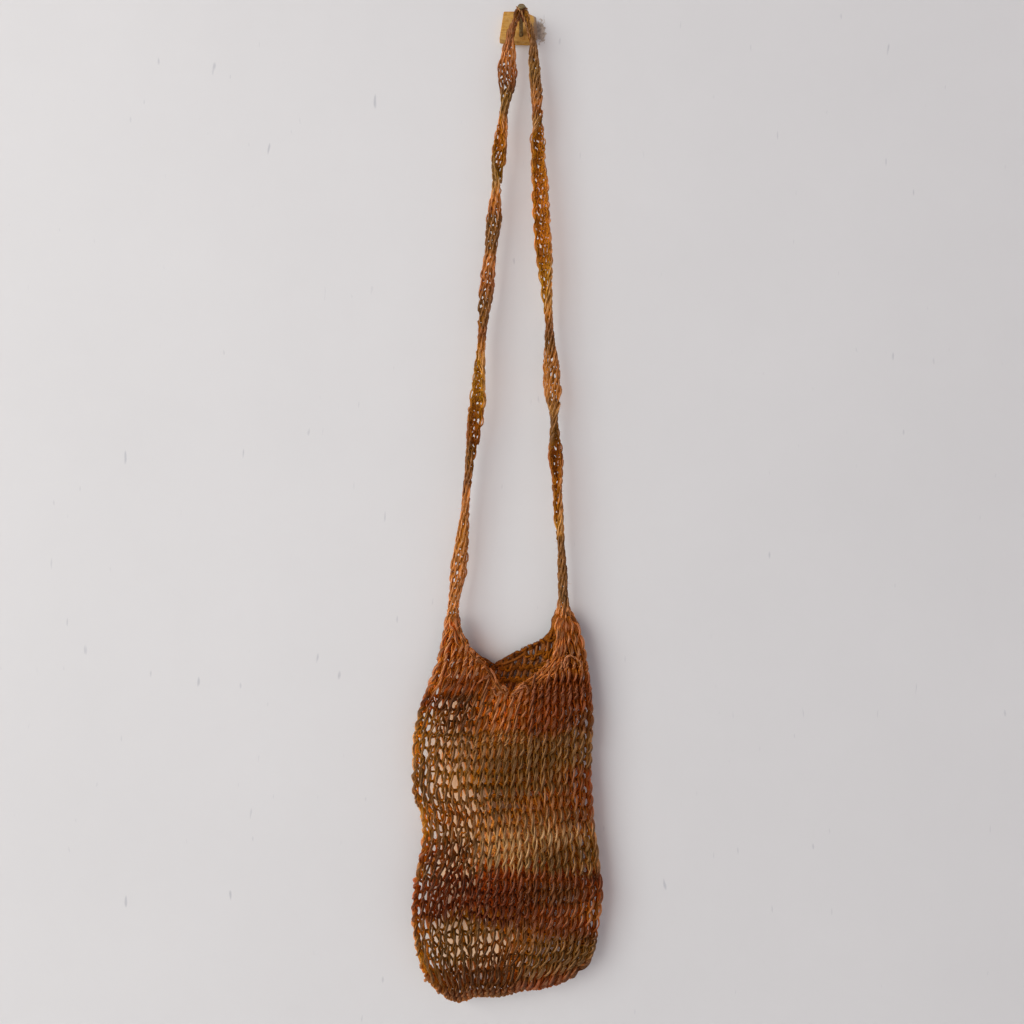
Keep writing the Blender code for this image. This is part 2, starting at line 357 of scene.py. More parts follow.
def makeSection(settings):
    outline = bpy.data.curves.new("plySection", "CURVE")
    outline.dimensions = "2D"
    half = settings["section"]
    corners = [*half, *((-x, -y) for x, y in half)]
    line = outline.splines.new("POLY")
    line.points.add(len(corners) - 1)
    for point, (x, y) in zip(line.points, corners):
        point.co = (x * settings["thick"] / 2, y * settings["thick"] / 2, 0, 1)
    line.use_cyclic_u = True
    section = addObject("plySection", outline)
    section.hide_render = True
    return section


def newCurve(name):
    curve = bpy.data.curves.new(name, "CURVE")
    curve.dimensions = "3D"
    return curve


def meshOf(name, curve):
    holder = addObject(name, curve)
    graph = bpy.context.evaluated_depsgraph_get()
    mesh = bpy.data.meshes.new_from_object(holder.evaluated_get(graph))
    bpy.data.objects.remove(holder)
    return mesh


def spinString(name, run, strips, seed=0.0, turn=string["turn"], rings=string["rings"]):
    places, dyes, lifts, fatness = zip(*run)
    along = [0.0]
    for before, after in zip(places, places[1:]):
        along.append(along[-1] + (after - before).length)
    curve = newCurve(name)
    curve.resolution_u = rings
    curve.bevel_mode = "OBJECT"
    curve.bevel_object = stringSection
    curve.use_fill_caps = True
    line = curve.splines.new("BEZIER")
    line.bezier_points.add(len(places) - 1)
    for point, place, length, fat in zip(line.bezier_points, places, along, fatness):
        point.co = place
        point.handle_left_type = "AUTO"
        point.handle_right_type = "AUTO"
        point.tilt = 2 * math.pi * length / turn
        wander = wobble(length / string["slubLong"], seed, 0)
        wander += wobble(length / string["slubShort"], seed, 7) / 2
        point.radius = fat * (1 + string["slub"] * wander)
    mesh = meshOf(name, curve)
    dyes = np.array([(*dye, 0)[:4] for dye in dyes])  # the fourth value says how open the fabric is
    layOutString(mesh, np.array(along), dyes, np.array(lifts), strips, rings)
    mesh.shade_smooth()
    return addObject(name, mesh)


def keepOnPoints(mesh, dyes, lifts, grooves):
    # what the yarn's finish reads at each point
    mesh.color_attributes.new("dye", "FLOAT_COLOR", "POINT").data.foreach_set("color", dyes.ravel())
    for name, values in (("lift", lifts), ("groove", grooves)):
        mesh.attributes.new(name, "FLOAT", "POINT").data.foreach_set("value", values)


def layOutString(mesh, along, dyes, lifts, strips, perStop):
    # the rings of the two end caps come first, the far one before the near one
    sides = 2 * len(string["section"])
    steps = np.arange(len(along))
    rings = np.arange((len(along) - 1) * perStop + 1) / perStop
    rings = np.concatenate([[rings[-1], rings[0]], rings])
    dyes = np.stack([np.interp(rings, steps, shade) for shade in dyes.T], 1)
    lifts = np.interp(rings, steps, lifts)
    grooves = np.tile(string["groove"], 2 * len(rings))
    keepOnPoints(mesh, np.repeat(dyes, sides, 0), np.repeat(lifts, sides), grooves)
    # one map follows the string, and one lays it out in strips for the finished textures
    followMap = mesh.uv_layers[0]
    followMap.name = "Along"
    corners = np.empty(2 * len(mesh.loops), np.float32)
    followMap.uv.foreach_get("vector", corners)
    corners = corners.reshape(-1, 2)
    capCorners = 6 * (sides - 2)
    caps = corners[:capCorners] * string["capScale"]
    length = np.interp(corners[capCorners:, 0] * (len(along) - 1), steps, along)
    turn = corners[capCorners:, 1]
    far = length / along[-1] * strips
    strip = np.repeat(np.floor(far.reshape(-1, 4).mean(1)), 4)
    margin, band = string["mapStrip"]
    laid = np.stack([(far - strip).clip(0, 1), (strip + margin + band * turn) / strips], 1)
    followed = np.stack([length / string["mapLength"], turn], 1)
    followMap.uv.foreach_set("vector", np.concatenate([caps, followed]).ravel())
    bakeMap = mesh.uv_layers.new(name="OFBake")
    bakeMap.uv.foreach_set("vector", np.concatenate([caps, laid]).ravel())


# ---- one loop of the fabric, crossed over itself at its foot
# across and up are in columns and rows, out is in string thicknesses

loopStops = (
    (-0.50, 0.00, -0.80),
    (-0.22, 0.01, -0.50),
    (-0.13, 0.22, 0.30),
    (0.00, 0.48, 0.85),
    (0.15, 0.78, 0.90),
    (0.22, 1.06, 0.20),
    (0.01, 1.30, -0.65),
    (-0.22, 1.04, -0.10),
    (-0.17, 0.76, 0.05),
    (-0.05, 0.44, -0.15),
    (0.13, 0.16, -0.40),
)


def liftOf(out):
    # 0 at 0.9 string thicknesses behind the middle of the fabric, 1 at one in front of it
    return clamped((out + 0.9) / 1.9)


# ---- the pouch

pouch = {
    "columns": 48,
    "rowHeight": 0.01214,
    "rounds": ((0, 7), (7, 14), (14, 19), (19, 23)),  # the rows of each piece that goes right round
    "yoke": (23, 25),  # rows open at the front, from mouth edge to mouth edge
    "ears": (25, 29),
    "edgeColumns": 2,  # columns that follow a steep edge of the mouth, and their width
    "edgeWidth": 0.75,
    "steep": 1.8,  # columns a row that an edge may slant and still be followed
    "edgeGap": 0.1,  # an upright column nearer than this to them is left out
    "layAt": 0.35,  # how far up a row its columns are counted
    "earCrowding": 1.30,  # how much narrower the columns are at the top of the ears
    "crowdedRows": (23, 28),  # rows in which they get narrower
    "inset": 0.0020,  # the string stands out of the middle of the fabric
    "middle": -0.0190,  # y between its front and its back
    "fold": 0.0054,  # radius of its side folds
    "foldRow": 1.2,  # row by which the bottom fold has opened
    "fullBy": 0.625,  # how far in from a fold it is fully swollen, against the way to the middle
    "wall": 0.0034,  # thickness of the fabric
    "standOut": 0.0012,  # what its faces stand out by even where it lies flat
    "ripple": 0.0016,  # of its faces, in patches of this width and drop
    "rippleSize": (0.035, 0.06),
    "paintedInsideShade": 0.30,  # painted shade: what faces into it is painted darker, as kept from the light
    "turnedIn": (0.6, 1.5),  # painted shade of the back where it faces sideways, and how fast both sides darken
    "paintedMouthShade": (-0.632, 0.024, 0.66),  # painted shade: the back is darker above this z, over this height, by this much
    "foot": 0.9050,  # drop of its bottom edge
    "settle": 5,  # rows over which the bottom evens out
    "stopsInStrip": 120,  # of the map that lays out the string in strips
    "outline": (  # drop, left, right, half the fullness
        (0.530, -0.0560, 0.0580, 0.0040), (0.553, -0.0600, 0.0592, 0.0050),
        (0.565, -0.0612, 0.0632, 0.0062), (0.580, -0.0650, 0.0675, 0.0080),
        (0.607, -0.0715, 0.0725, 0.0105), (0.636, -0.0830, 0.0760, 0.0118),
        (0.663, -0.0885, 0.0760, 0.0124), (0.700, -0.0900, 0.0755, 0.0126),
        (0.718, -0.0890, 0.0770, 0.0124), (0.738, -0.0818, 0.0785, 0.0120),
        (0.762, -0.0802, 0.0816, 0.0120), (0.785, -0.0838, 0.0848, 0.0122),
        (0.804, -0.0872, 0.0876, 0.0124), (0.836, -0.0878, 0.0848, 0.0118),
        (0.862, -0.0840, 0.0800, 0.0104), (0.880, -0.0785, 0.0700, 0.0090),
        (0.894, -0.0700, 0.0620, 0.0074), (0.912, -0.0600, 0.0540, 0.0060),
    ),
    "mouth": {  # drop and how far across from -1 to 1: the two edges of its front (-1) and back (1)
        (-1, -1): (
            (0.540, -0.88), (0.553, -0.84), (0.567, -0.73), (0.580, -0.60), (0.589, -0.45),
            (0.595, -0.33), (0.610, -0.16), (0.621, 0.00),
        ),
        (-1, 1): (
            (0.540, 0.74), (0.553, 0.67), (0.570, 0.61), (0.585, 0.54), (0.594, 0.45),
            (0.604, 0.30), (0.610, 0.19), (0.621, 0.00),
        ),
        (1, -1): (
            (0.540, -0.88), (0.553, -0.84), (0.570, -0.73), (0.583, -0.60), (0.593, -0.45),
            (0.600, -0.25),
        ),
        (1, 1): (
            (0.540, 0.74), (0.553, 0.67), (0.567, 0.58), (0.575, 0.43), (0.580, 0.29),
            (0.588, 0.06), (0.596, -0.12), (0.602, -0.25),
        ),
    },
    "bottom": (
        (-1.00, 0.8880), (-0.90, 0.9005), (-0.80, 0.9085), (-0.65, 0.9105), (-0.40, 0.9050),
        (0.00, 0.9045), (0.30, 0.8985), (0.50, 0.8975), (0.75, 0.8930), (0.90, 0.8855),
        (1.00, 0.8705),
    ),
}

opening = {  # where the fabric is pulled open, in shares of the way across and in rows
    "left": (0.26, 0.44),
    "bottom": (0.50, 0.72),
    "bottomRows": (4.5, 5.6),
    "redFrom": (4.8, 5.8),  # the red rows are closer
    "redTo": (8.0, 9.0),
    "redCloser": 0.36,
    "upperRows": (15.5, 17.5),  # and so are those below the left ear
    "upperShares": (0.10, 0.20),
    "upperCloser": 0.28,
    "earRows": (24, 26),
    "earCloser": 0.5,
    "foldRows": (0.6, 2.4),
}

dyeing = {
    "shares": (0.0, 0.22, 0.48, 0.74, 1.0),  # where across the five dyes of a band stand
    "blend": 0.6,  # rows in which a band runs into the next
    "slowWander": 0.55,  # how far its edge wanders, in rows
    "quickWander": 0.45,
    "aside": 0.05,  # how far the dyes wander to the side
    "uneven": 0.28,  # brightness, in small patches
    "paintedShadeRows": (22.0, 24.0),  # where the back is painted darker towards a dark brown, as painted shade behind the mouth, and how far
    "paintedShade": 0.75,
}

pouchDyes = (  # from row; at the left edge, left, middle, right, right edge
    (0.0, "gold", "amber", "drab", "rust", "amber"),
    (0.9, "amber", "brown", "brown", "rust", "brown"),
    (1.8, "gold", "brown", "brown", "drab", "olive"),
    (3.0, "tan", "olive", "brown", "olive", "olive"),
    (4.2, "tan", "olive", "amber", "drab", "brown"),
    (5.2, "amber", "olive", "drab", "rust", "rust"),
    (6.4, "rust", "maroon", "maroon", "rust", "amber"),
    (7.6, "rust", "maroon", "maroon", "brown", "rust"),
    (9.3, "drab", "maroon", "rust", "rust", "maroon"),
    (10.3, "rust", "brown", "sand", "olive", "tan"),
    (11.4, "amber", "brown", "sand", "drab", "olive"),
    (12.4, "gold", "tan", "sand", "sand", "tan"),
    (13.4, "gold", "amber", "tan", "tan", "rust"),
    (14.8, "tan", "tan", "drab", "amber", "rust"),
    (16.2, "drab", "gold", "olive", "drab", "rust"),
    (18.0, "gold", "tan", "drab", "olive", "drab"),
    (19.4, "gold", "drab", "tan", "drab", "drab"),
    (20.6, "gold", "brown", "orange", "rust", "brown"),
    (22.0, "rust", "brown", "copper", "rust", "rust"),
    (23.4, "copper", "rust", "orange", "rust", "rust"),
    (25.0, "copper", "orange", "rust", "orange", "amber"),
    (27.0, "copper", "copper", "rust", "orange", "orange"),
)

handwork = {  # how uneven the loops are: across in columns, up in rows, out in string thicknesses
    "patch": 2.2,  # columns and rows in which it changes
    "finer": 3.1,  # how many times as often its finer part changes
    "uneven": 0.16,
    "fineUneven": 0.12,
    "openUneven": 0.18,  # added to it where the fabric is open
    "sway": 0.80,  # of whole columns, up and down
    "swayPatch": (1.2, 8),
    "innerShift": 0.5,  # how far the loops of the back are shifted into the gaps of the front
    "innerOpen": 0.2,  # how much less where it is open, and how they sway there
    "innerSway": 0.5,
    "innerSwayRows": 1.5,
    "innerDrop": 0.35,  # and how far down, where it is open
    "innerLeft": (0.0, 0.12),  # shares of the way across in which this comes on, and goes
    "innerRight": (0.86, 1.0),
    "settled": (0.0, 2.5),  # rows above the fold in which they get their full unevenness
    "lowest": 0.15,  # no stop lies below this row
    "overEdge": 0.3,  # rows by which stops may pass the edge of the mouth
    "outward": 0.8,
    "leftEdge": (0.02, 0.09),  # it is worked tighter there, and painted brighter: painted highlight
    "openDull": 0.26,  # the open part is duller, up to these rows
    "openDullRows": (22.5, 24.5),
    "paintedEdgeHighlight": 0.24,  # and the left edge brighter: painted highlight where the light falls from the left
    "paintedEdgeHighlightRows": (19.0, 22.0),
}

thickness = {  # of the string, and the rows in which it changes
    "usual": 1.06,
    "openThinner": 0.14,
    "leftEdge": 0.16,
    "lowThinner": 0.07,
    "lowRows": (6.0, 8.0),
    "fold": 0.64,
    "foldRows": (0.7, 1.5),
    "aboveFold": 0.24,
    "aboveFoldRows": (1.5, 2.8),
    "back": 0.30,
    "backTop": 0.42,
    "backTopRows": (22.0, 25.0),
}


def rowOf(drop):
    return (pouch["foot"] - drop) / pouch["rowHeight"]


def pouchDrop(share, row):
    settled = clamped(1 - row / pouch["settle"])
    foot = lineAt(pouch["bottom"], 2 * share - 1)
    return pouch["foot"] - row * pouch["rowHeight"] + settled * (foot - pouch["foot"])


def faceAndShare(turn):
    # turn goes once round the pouch: 0 to 0.5 over the front from left to right, then back behind
    turn %= 1
    return (-1, 2 * turn) if turn < 0.5 else (1, 2 - 2 * turn)


def turnOf(face, share):
    return share / 2 if face < 0 else 1 - share / 2


def pouchPlace(turn, row):
    face, share = faceAndShare(turn)
    drop = pouchDrop(share, row)
    _, left, right, deep = smoothRow(pouch["outline"], drop)
    left += pouch["inset"]
    right -= pouch["inset"]
    fold = min(pouch["fold"], (right - left) / 4)
    quarter = fold * math.pi / 2
    length = right - left - 2 * fold + 2 * quarter
    near = min(share, 1 - share) * length
    if near < quarter:
        inset = fold * (1 - math.cos(near / fold))
        rounded = math.sin(near / fold)
    else:
        inset = fold + near - quarter
        rounded = 1
    x = left + inset if share < 0.5 else right - inset
    past = max(inset - fold, 0) / ((right - left) / 2 - fold)
    swell = math.sin(clamped(past / pouch["fullBy"]) * math.pi / 2) ** 2
    fullness = min(fold, deep) * rounded + max(deep - fold, 0) * swell
    fullness *= math.sin(clamped(row / pouch["foldRow"]) * math.pi / 2)
    fullness = max(fullness - pouch["wall"] / 2, 0) + pouch["standOut"] * rounded
    across, down = pouch["rippleSize"]
    ripple = wobble(x / across, face * 5, drop / down) * pouch["ripple"] * rounded
    return Vector((x, pouch["middle"] + face * fullness + ripple, -drop))


def pouchPoint(turn, row, out):
    place = pouchPlace(turn, row)
    near = 0.2  # of a column or row
    step = near / pouch["columns"]
    aside = pouchPlace(turn + step, row) - pouchPlace(turn - step, row)
    above = pouchPlace(turn, row + near) - pouchPlace(turn, row - near)
    return place + above.cross(aside).normalized() * -out


def openness(share, row):
    # 1 where the fabric is pulled open, 0 where it is close
    atLeft = easedOut(share, *opening["left"])
    atBottom = easedOut(share, *opening["bottom"]) * easedOut(row, *opening["bottomRows"])
    red = eased(row, *opening["redFrom"]) * easedOut(row, *opening["redTo"])
    upper = eased(row, *opening["upperRows"]) * eased(share, *opening["upperShares"])
    ear = eased(row, *opening["earRows"])
    closer = (1 - opening["earCloser"] * ear) * (1 - opening["redCloser"] * red)
    atLeft *= closer * (1 - opening["upperCloser"] * upper)
    return max(atLeft, atBottom) * eased(row, *opening["foldRows"])


def pouchDye(turn, row):
    face, share = faceAndShare(turn)
    # noise of three sizes, and not the same on both faces
    slow = wobble(share * 5, row / 3, face * 3)
    quick = wobble(share * 21, row * 1.1, face * 5)
    fine = wobble(share * 40, row * 2.3, face * 7)
    level = max(row + dyeing["slowWander"] * slow + dyeing["quickWander"] * quick, 0)
    i = max(n for n, band in enumerate(pouchDyes) if band[0] <= level)
    above = pouchDyes[min(i + 1, len(pouchDyes) - 1)]
    blend = eased(level, above[0] - dyeing["blend"], above[0]) if above[0] > level else 0
    spot = clamped(share + dyeing["aside"] * slow + dyeing["aside"] * quick)
    shares = dyeing["shares"]
    n = next(k for k in range(4) if k == 3 or spot <= shares[k + 1])
    between = eased(spot, shares[n], shares[n + 1])
    bands = (pouchDyes[i], above)
    low, high = (mixed(shades[band[n + 1]], shades[band[n + 2]], between) for band in bands)
    dye = mixed(low, high, blend)
    # painted shade: the upper rows of the back, behind the mouth, are mixed towards a dark brown
    if face > 0:
        dye = mixed(dye, shades["paintedShade"], dyeing["paintedShade"] * eased(row, *dyeing["paintedShadeRows"]))
    return scaled(dye, 1 + dyeing["uneven"] * fine)


def topRow(turn):
    # the row at which the edge of the mouth crosses this place; rows above it are drawn in under it
    face, share = faceAndShare(turn)
    across = 2 * share - 1
    lowest = pouch["mouth"][face, 1][-1]
    edge = pouch["mouth"][face, -1 if across < lowest[1] else 1]
    return rowOf(lineAt(sorted((spot, level) for level, spot in edge), across))


def stringFatness(face, share, row, opened, atEdge):
    fat = thickness["usual"] - thickness["openThinner"] * opened + thickness["leftEdge"] * atEdge
    fat -= thickness["lowThinner"] * opened * easedOut(row, *thickness["lowRows"])
    aboveFold = thickness["aboveFold"] * easedOut(row, *thickness["aboveFoldRows"])
    fat += thickness["fold"] * easedOut(row, *thickness["foldRows"]) + aboveFold
    if face > 0:
        atTop = eased(row, *thickness["backTopRows"])
        fat += thickness["back"] * (1 - opened) + thickness["backTop"] * atTop
    return fat


def pouchStop(turn, row, out):
    # a stop of the net, a little out of its exact place, as hand work is
    hand = handwork
    column = turn % 1 * pouch["columns"]
    spot = Vector((column / hand["patch"], row / hand["patch"], 0))
    face, share = faceAndShare(turn)
    opened = openness(share, row)
    finer = noise.noise_vector(spot * hand["finer"]) * (hand["fineUneven"] + hand["openUneven"] * opened)
    wander = noise.noise_vector(spot) * hand["uneven"] + finer
    wander.y += hand["sway"] * wobble(column / hand["swayPatch"][0], row / hand["swayPatch"][1], 3)
    # the loops of the back lie behind the gaps of the front
    inner = eased(share, *hand["innerLeft"]) * easedOut(share, *hand["innerRight"]) if face > 0 else 0
    sway = hand["innerSway"] * opened * wobble(row / hand["innerSwayRows"], 5, 1)
    shifted = inner * (hand["innerShift"] - hand["innerOpen"] * opened + sway)
    turn += (wander.x + shifted) / pouch["columns"]
    raised = wander.y - hand["innerDrop"] * inner * opened
    row = max(row + raised * eased(row, *hand["settled"]), hand["lowest"])
    if row > pouch["yoke"][0]:
        row = min(row, topRow(turn) + hand["overEdge"] * wander.z)
    atEdge = easedOut(share, *hand["leftEdge"])
    place = pouchPoint(turn, row, string["thick"] * (out + hand["outward"] * wander.z))
    dull = 1 - hand["openDull"] * opened * easedOut(row, *hand["openDullRows"])
    # painted highlight along the left edge
    dull += hand["paintedEdgeHighlight"] * atEdge * easedOut(row, *hand["paintedEdgeHighlightRows"])
    dye = scaled(pouchDye(turn, row), dull)
    return place, (*dye, opened), liftOf(out), stringFatness(face, share, row, opened, atEdge)


def workRounds(first, last):
    # one string works round and round the pouch, a loop for each column
    run = []
    for n in range(first * pouch["columns"], last * pouch["columns"]):
        for across, up, out in loopStops:
            turn = (n % pouch["columns"] + 0.5 + across) / pouch["columns"]
            run.append(pouchStop(turn, n / pouch["columns"] + up, out))
    return run


def mouthShare(face, side, drop):
    return (lineAt(pouch["mouth"][face, side], drop) + 1) / 2


def mouthTurn(face, side, row):
    return turnOf(face, mouthShare(face, side, pouch["foot"] - row * pouch["rowHeight"]))


def flatColumns(low, high, crowding, slants):
    # the middles of a flat row's columns, as (share of the way from low to high, columns past it, width)
    # by a steep edge of the mouth they follow the edge, and elsewhere they stand upright
    wide = (high - low) * pouch["columns"]
    narrow = pouch["edgeWidth"]
    follow = [pouch["edgeColumns"] if abs(slant) < pouch["steep"] else 0 for slant in slants]
    if wide < 4 * narrow + 1:
        count = max(round(wide * crowding), 2)
        return [((n + 0.5) / count, 0, 1 / crowding) for n in range(count)]
    first = low * pouch["columns"] + follow[0] * narrow
    last = high * pouch["columns"] - follow[1] * narrow
    gap = pouch["edgeGap"]
    middles = [n + 0.5 for n in range(math.floor(first), math.ceil(last))]
    places = [(0, (n + 0.5) * narrow, narrow) for n in range(follow[0])]
    places += [(None, middle, 1) for middle in middles if first + gap < middle < last - gap]
    places += [(1, (n + 0.5 - follow[1]) * narrow, narrow) for n in range(follow[1])]
    return places


def workFlat(first, last, start, end):
    # a string works to and fro between two edges of the mouth, start and end giving (face, side)
    def edges(level):
        low, high = mouthTurn(*start, level), mouthTurn(*end, level)
        return low, high if high > low else high + 1

    run = []
    for row in range(first, last):
        crowding = 1 + (pouch["earCrowding"] - 1) * eased(row, *pouch["crowdedRows"])
        slants = [(b - a) * pouch["columns"] for a, b in zip(edges(row), edges(row + 1))]
        stops = []
        for share, past, width in flatColumns(*edges(row + pouch["layAt"]), crowding, slants):
            for across, up, out in loopStops:
                low, high = edges(row + up)
                turn = (past + across * width) / pouch["columns"]
                if share is not None:
                    turn = low + (high - low) * share + turn
                stops.append(pouchStop(turn, row + up, out))
        run += stops[::-1] if (row - first) % 2 else stops
    return run


stringSection = makeSection(string)
netParts = []


def paintShadeInside(piece):
    # painted shade: darker where the string faces into the pouch, and most of all behind its mouth
    mesh = piece.data
    places = np.empty(3 * len(mesh.vertices))
    mesh.vertices.foreach_get("co", places)
    normals = np.empty(3 * len(mesh.vertices), np.float32)
    mesh.vertex_normals.foreach_get("vector", normals)
    behind = ((places[1::3] - pouch["middle"]) / pouch["wall"]).clip(-1, 1)
    most, rate = pouch["turnedIn"]
    turned = rate * normals[1::3]
    facing = np.where(behind > 0, most - turned, turned).clip(0, 1) * abs(behind)
    low, height, darker = pouch["paintedMouthShade"]
    nearMouth = (behind > 0) * ((places[2::3] - low) / height).clip(0, 1)
    darkest = pouch["paintedInsideShade"] * (1 - darker * nearMouth)
    layer = mesh.color_attributes["dye"].data
    dyes = np.empty(4 * len(mesh.vertices), np.float32)
    layer.foreach_get("color", dyes)
    dyes = dyes.reshape(-1, 4)
    dyes[:, :3] *= (1 - (1 - darkest) * facing)[:, None]
    layer.foreach_set("color", dyes.ravel())


def addNet(name, run):
    piece = spinString(name, run, max(len(run) // pouch["stopsInStrip"], 2), seed=len(netParts))
    paintShadeInside(piece)
    netParts.append(piece)
    print(name, "worked")


for number, (first, last) in enumerate(pouch["rounds"]):
    addNet(f"net{number + 1}", workRounds(first, last))
addNet("netYoke", workFlat(*pouch["yoke"], (-1, 1), (-1, -1)))
addNet("netRightEar", workFlat(*pouch["ears"], (-1, 1), (1, 1)))
addNet("netLeftEar", workFlat(*pouch["ears"], (1, -1), (-1, -1)))
print("pouch worked")

# ---- the strap: a narrow band worked to and fro, twisted and curled as it hangs

strap = {
    "columns": 5,
    "row": 0.0075,  # length of a row
    "stretch": 1.30,  # its loops reach on past the next row
    "shift": 0.25,  # columns by which its rows are moved to and fro
    "edgeStop": (0.3, 1.0, -0.3),  # where the string turns at an edge: row, across, out
    "natural": 0.0105,  # half its width when it lies flat
    "seen": (0.3, 0.999),  # the least and the most of it that can show
    "drawn": 1.2,  # how far it may be widened to show as much as it should
    "string": 0.72,  # its string, pulled thin, against the pouch's
    "rings": 2,
    "trim": 0.0003,  # taken off half its width for the string that stands out at each edge
    "standOut": 0.0012,  # how far its loops stand out of the middle of the fabric
    "turn": 0.0085,
    "depth": -0.0195,  # y of both hanging sides
    "step": 0.003,
    "curls": (0.014, 0.060),  # drops between which it begins to curl
    "patch": (0.011, 1.7),  # length in which it is uneven, and how often across
    "uneven": 0.30,
    "finer": 2.7,
    "wander": (0.008, 0.22, 1.3),  # along, across, and out in string thicknesses
    "calm": (0.012, 0.035),  # it is even near the nail, up to here
    "nailRoot": (0.0, -0.0024, -0.0097),
    "nailSlope": 30,
    "crownReach": 0.0222,  # how far in front of the wall it crosses the nail
    "crownRadius": 0.0036,
    "crownWide": 0.0059,
    "crownSteps": 8,
    "dyeWander": 0.004,  # how far the border of two dyes wanders, and its slant across
    "dyeSlant": 0.003,
    "dyePatch": 0.02,
    "bright": (0.84, 0.65),  # brightness of its dyes, how uneven, and in which lengths
    "brightPatch": 0.006,
    "faded": (0.210, 0.135, 0.036),  # what wear and light have turned all its dyes towards, and how far
    "fading": 0.30,
    "left": (  # drop, side, half its visible width, turn
        (0.010, -0.0092, 0.0040, 50), (0.024, -0.0108, 0.0052, 30), (0.045, -0.0124, 0.0088, -10),
        (0.056, -0.0127, 0.0080, -40), (0.075, -0.0138, 0.0045, -75), (0.086, -0.0150, 0.0036, -90),
        (0.108, -0.0172, 0.0056, -140), (0.125, -0.0181, 0.0065, -180), (0.140, -0.0190, 0.0055, -220),
        (0.156, -0.0203, 0.0038, -270), (0.186, -0.0222, 0.0068, -345), (0.204, -0.0240, 0.0051, -365),
        (0.223, -0.0260, 0.0052, -370), (0.250, -0.0286, 0.0069, -385), (0.278, -0.0311, 0.0042, -440),
        (0.308, -0.0327, 0.0036, -465), (0.334, -0.0340, 0.0057, -510), (0.357, -0.0350, 0.0070, -535),
        (0.378, -0.0370, 0.0066, -560), (0.410, -0.0408, 0.0039, -620), (0.438, -0.0434, 0.0032, -640),
        (0.472, -0.0458, 0.0047, -690), (0.510, -0.0500, 0.0073, -722), (0.528, -0.0522, 0.0056, -728),
        (0.545, -0.0543, 0.0047, -724), (0.570, -0.0545, 0.0080, -720),
    ),
    "right": (
        (0.008, 0.0088, 0.0042, 70), (0.028, 0.0120, 0.0038, 40), (0.047, 0.0132, 0.0046, 25),
        (0.065, 0.0151, 0.0048, -10), (0.088, 0.0165, 0.0046, -75), (0.098, 0.0174, 0.0048, -110),
        (0.112, 0.0174, 0.0068, -155), (0.128, 0.0178, 0.0060, -172), (0.146, 0.0192, 0.0074, -180),
        (0.206, 0.0226, 0.0077, -195), (0.230, 0.0251, 0.0065, -205), (0.252, 0.0271, 0.0051, -232),
        (0.280, 0.0301, 0.0034, -285), (0.300, 0.0312, 0.0048, -315), (0.326, 0.0333, 0.0081, -362),
        (0.350, 0.0356, 0.0070, -385), (0.366, 0.0366, 0.0037, -450), (0.381, 0.0371, 0.0040, -490),
        (0.404, 0.0383, 0.0066, -530), (0.424, 0.0398, 0.0044, -550), (0.438, 0.0404, 0.0038, -570),
        (0.456, 0.0413, 0.0045, -590), (0.480, 0.0440, 0.0029, -640), (0.512, 0.0463, 0.0039, -700),
        (0.538, 0.0474, 0.0047, -718), (0.553, 0.0490, 0.0088, -720), (0.570, 0.0502, 0.0108, -720),
    ),
}

strapDyes = {
    "left": (
        (-0.010, "brown"), (0.004, "maroon"), (0.018, "rust"), (0.032, "orange"), (0.050, "rust"),
        (0.062, "maroon"), (0.072, "olive"), (0.086, "olive"), (0.093, "amber"), (0.102, "orange"),
        (0.128, "amber"), (0.138, "olive"), (0.150, "olive"), (0.158, "gold"), (0.167, "orange"),
        (0.177, "rust"), (0.187, "brown"), (0.212, "brown"), (0.225, "orange"), (0.246, "rust"),
        (0.262, "brown"), (0.280, "brown"), (0.290, "rust"), (0.303, "amber"), (0.312, "gold"),
        (0.350, "gold"), (0.362, "amber"), (0.385, "rust"), (0.405, "brown"), (0.430, "maroon"),
        (0.446, "orange"), (0.480, "amber"), (0.520, "orange"), (0.570, "orange"),
    ),
    "right": (
        (-0.010, "gold"), (0.006, "tan"), (0.018, "brown"), (0.032, "brown"), (0.050, "olive"),
        (0.062, "brown"), (0.072, "amber"), (0.086, "rust"), (0.095, "drab"), (0.106, "amber"),
        (0.115, "amber"), (0.135, "amber"), (0.160, "orange"), (0.200, "orange"), (0.222, "amber"),
        (0.230, "gold"), (0.266, "gold"), (0.276, "amber"), (0.288, "maroon"), (0.300, "brown"),
        (0.312, "amber"), (0.350, "amber"), (0.360, "tan"), (0.367, "brown"), (0.389, "brown"),
        (0.400, "rust"), (0.453, "amber"), (0.464, "gold"), (0.475, "gold"), (0.483, "brown"),
        (0.536, "brown"), (0.545, "orange"), (0.570, "orange"),
    ),
}

strapLoop = (
    (-0.50, 0.00, -0.80),
    (-0.14, 0.16, 0.20),
    (0.08, 0.62, 0.85),
    (0.20, 1.05, 0.30),
    (0.00, 1.30, -0.60),
    (-0.20, 0.95, -0.10),
    (-0.08, 0.42, -0.15),
    (0.14, 0.12, -0.45),
)


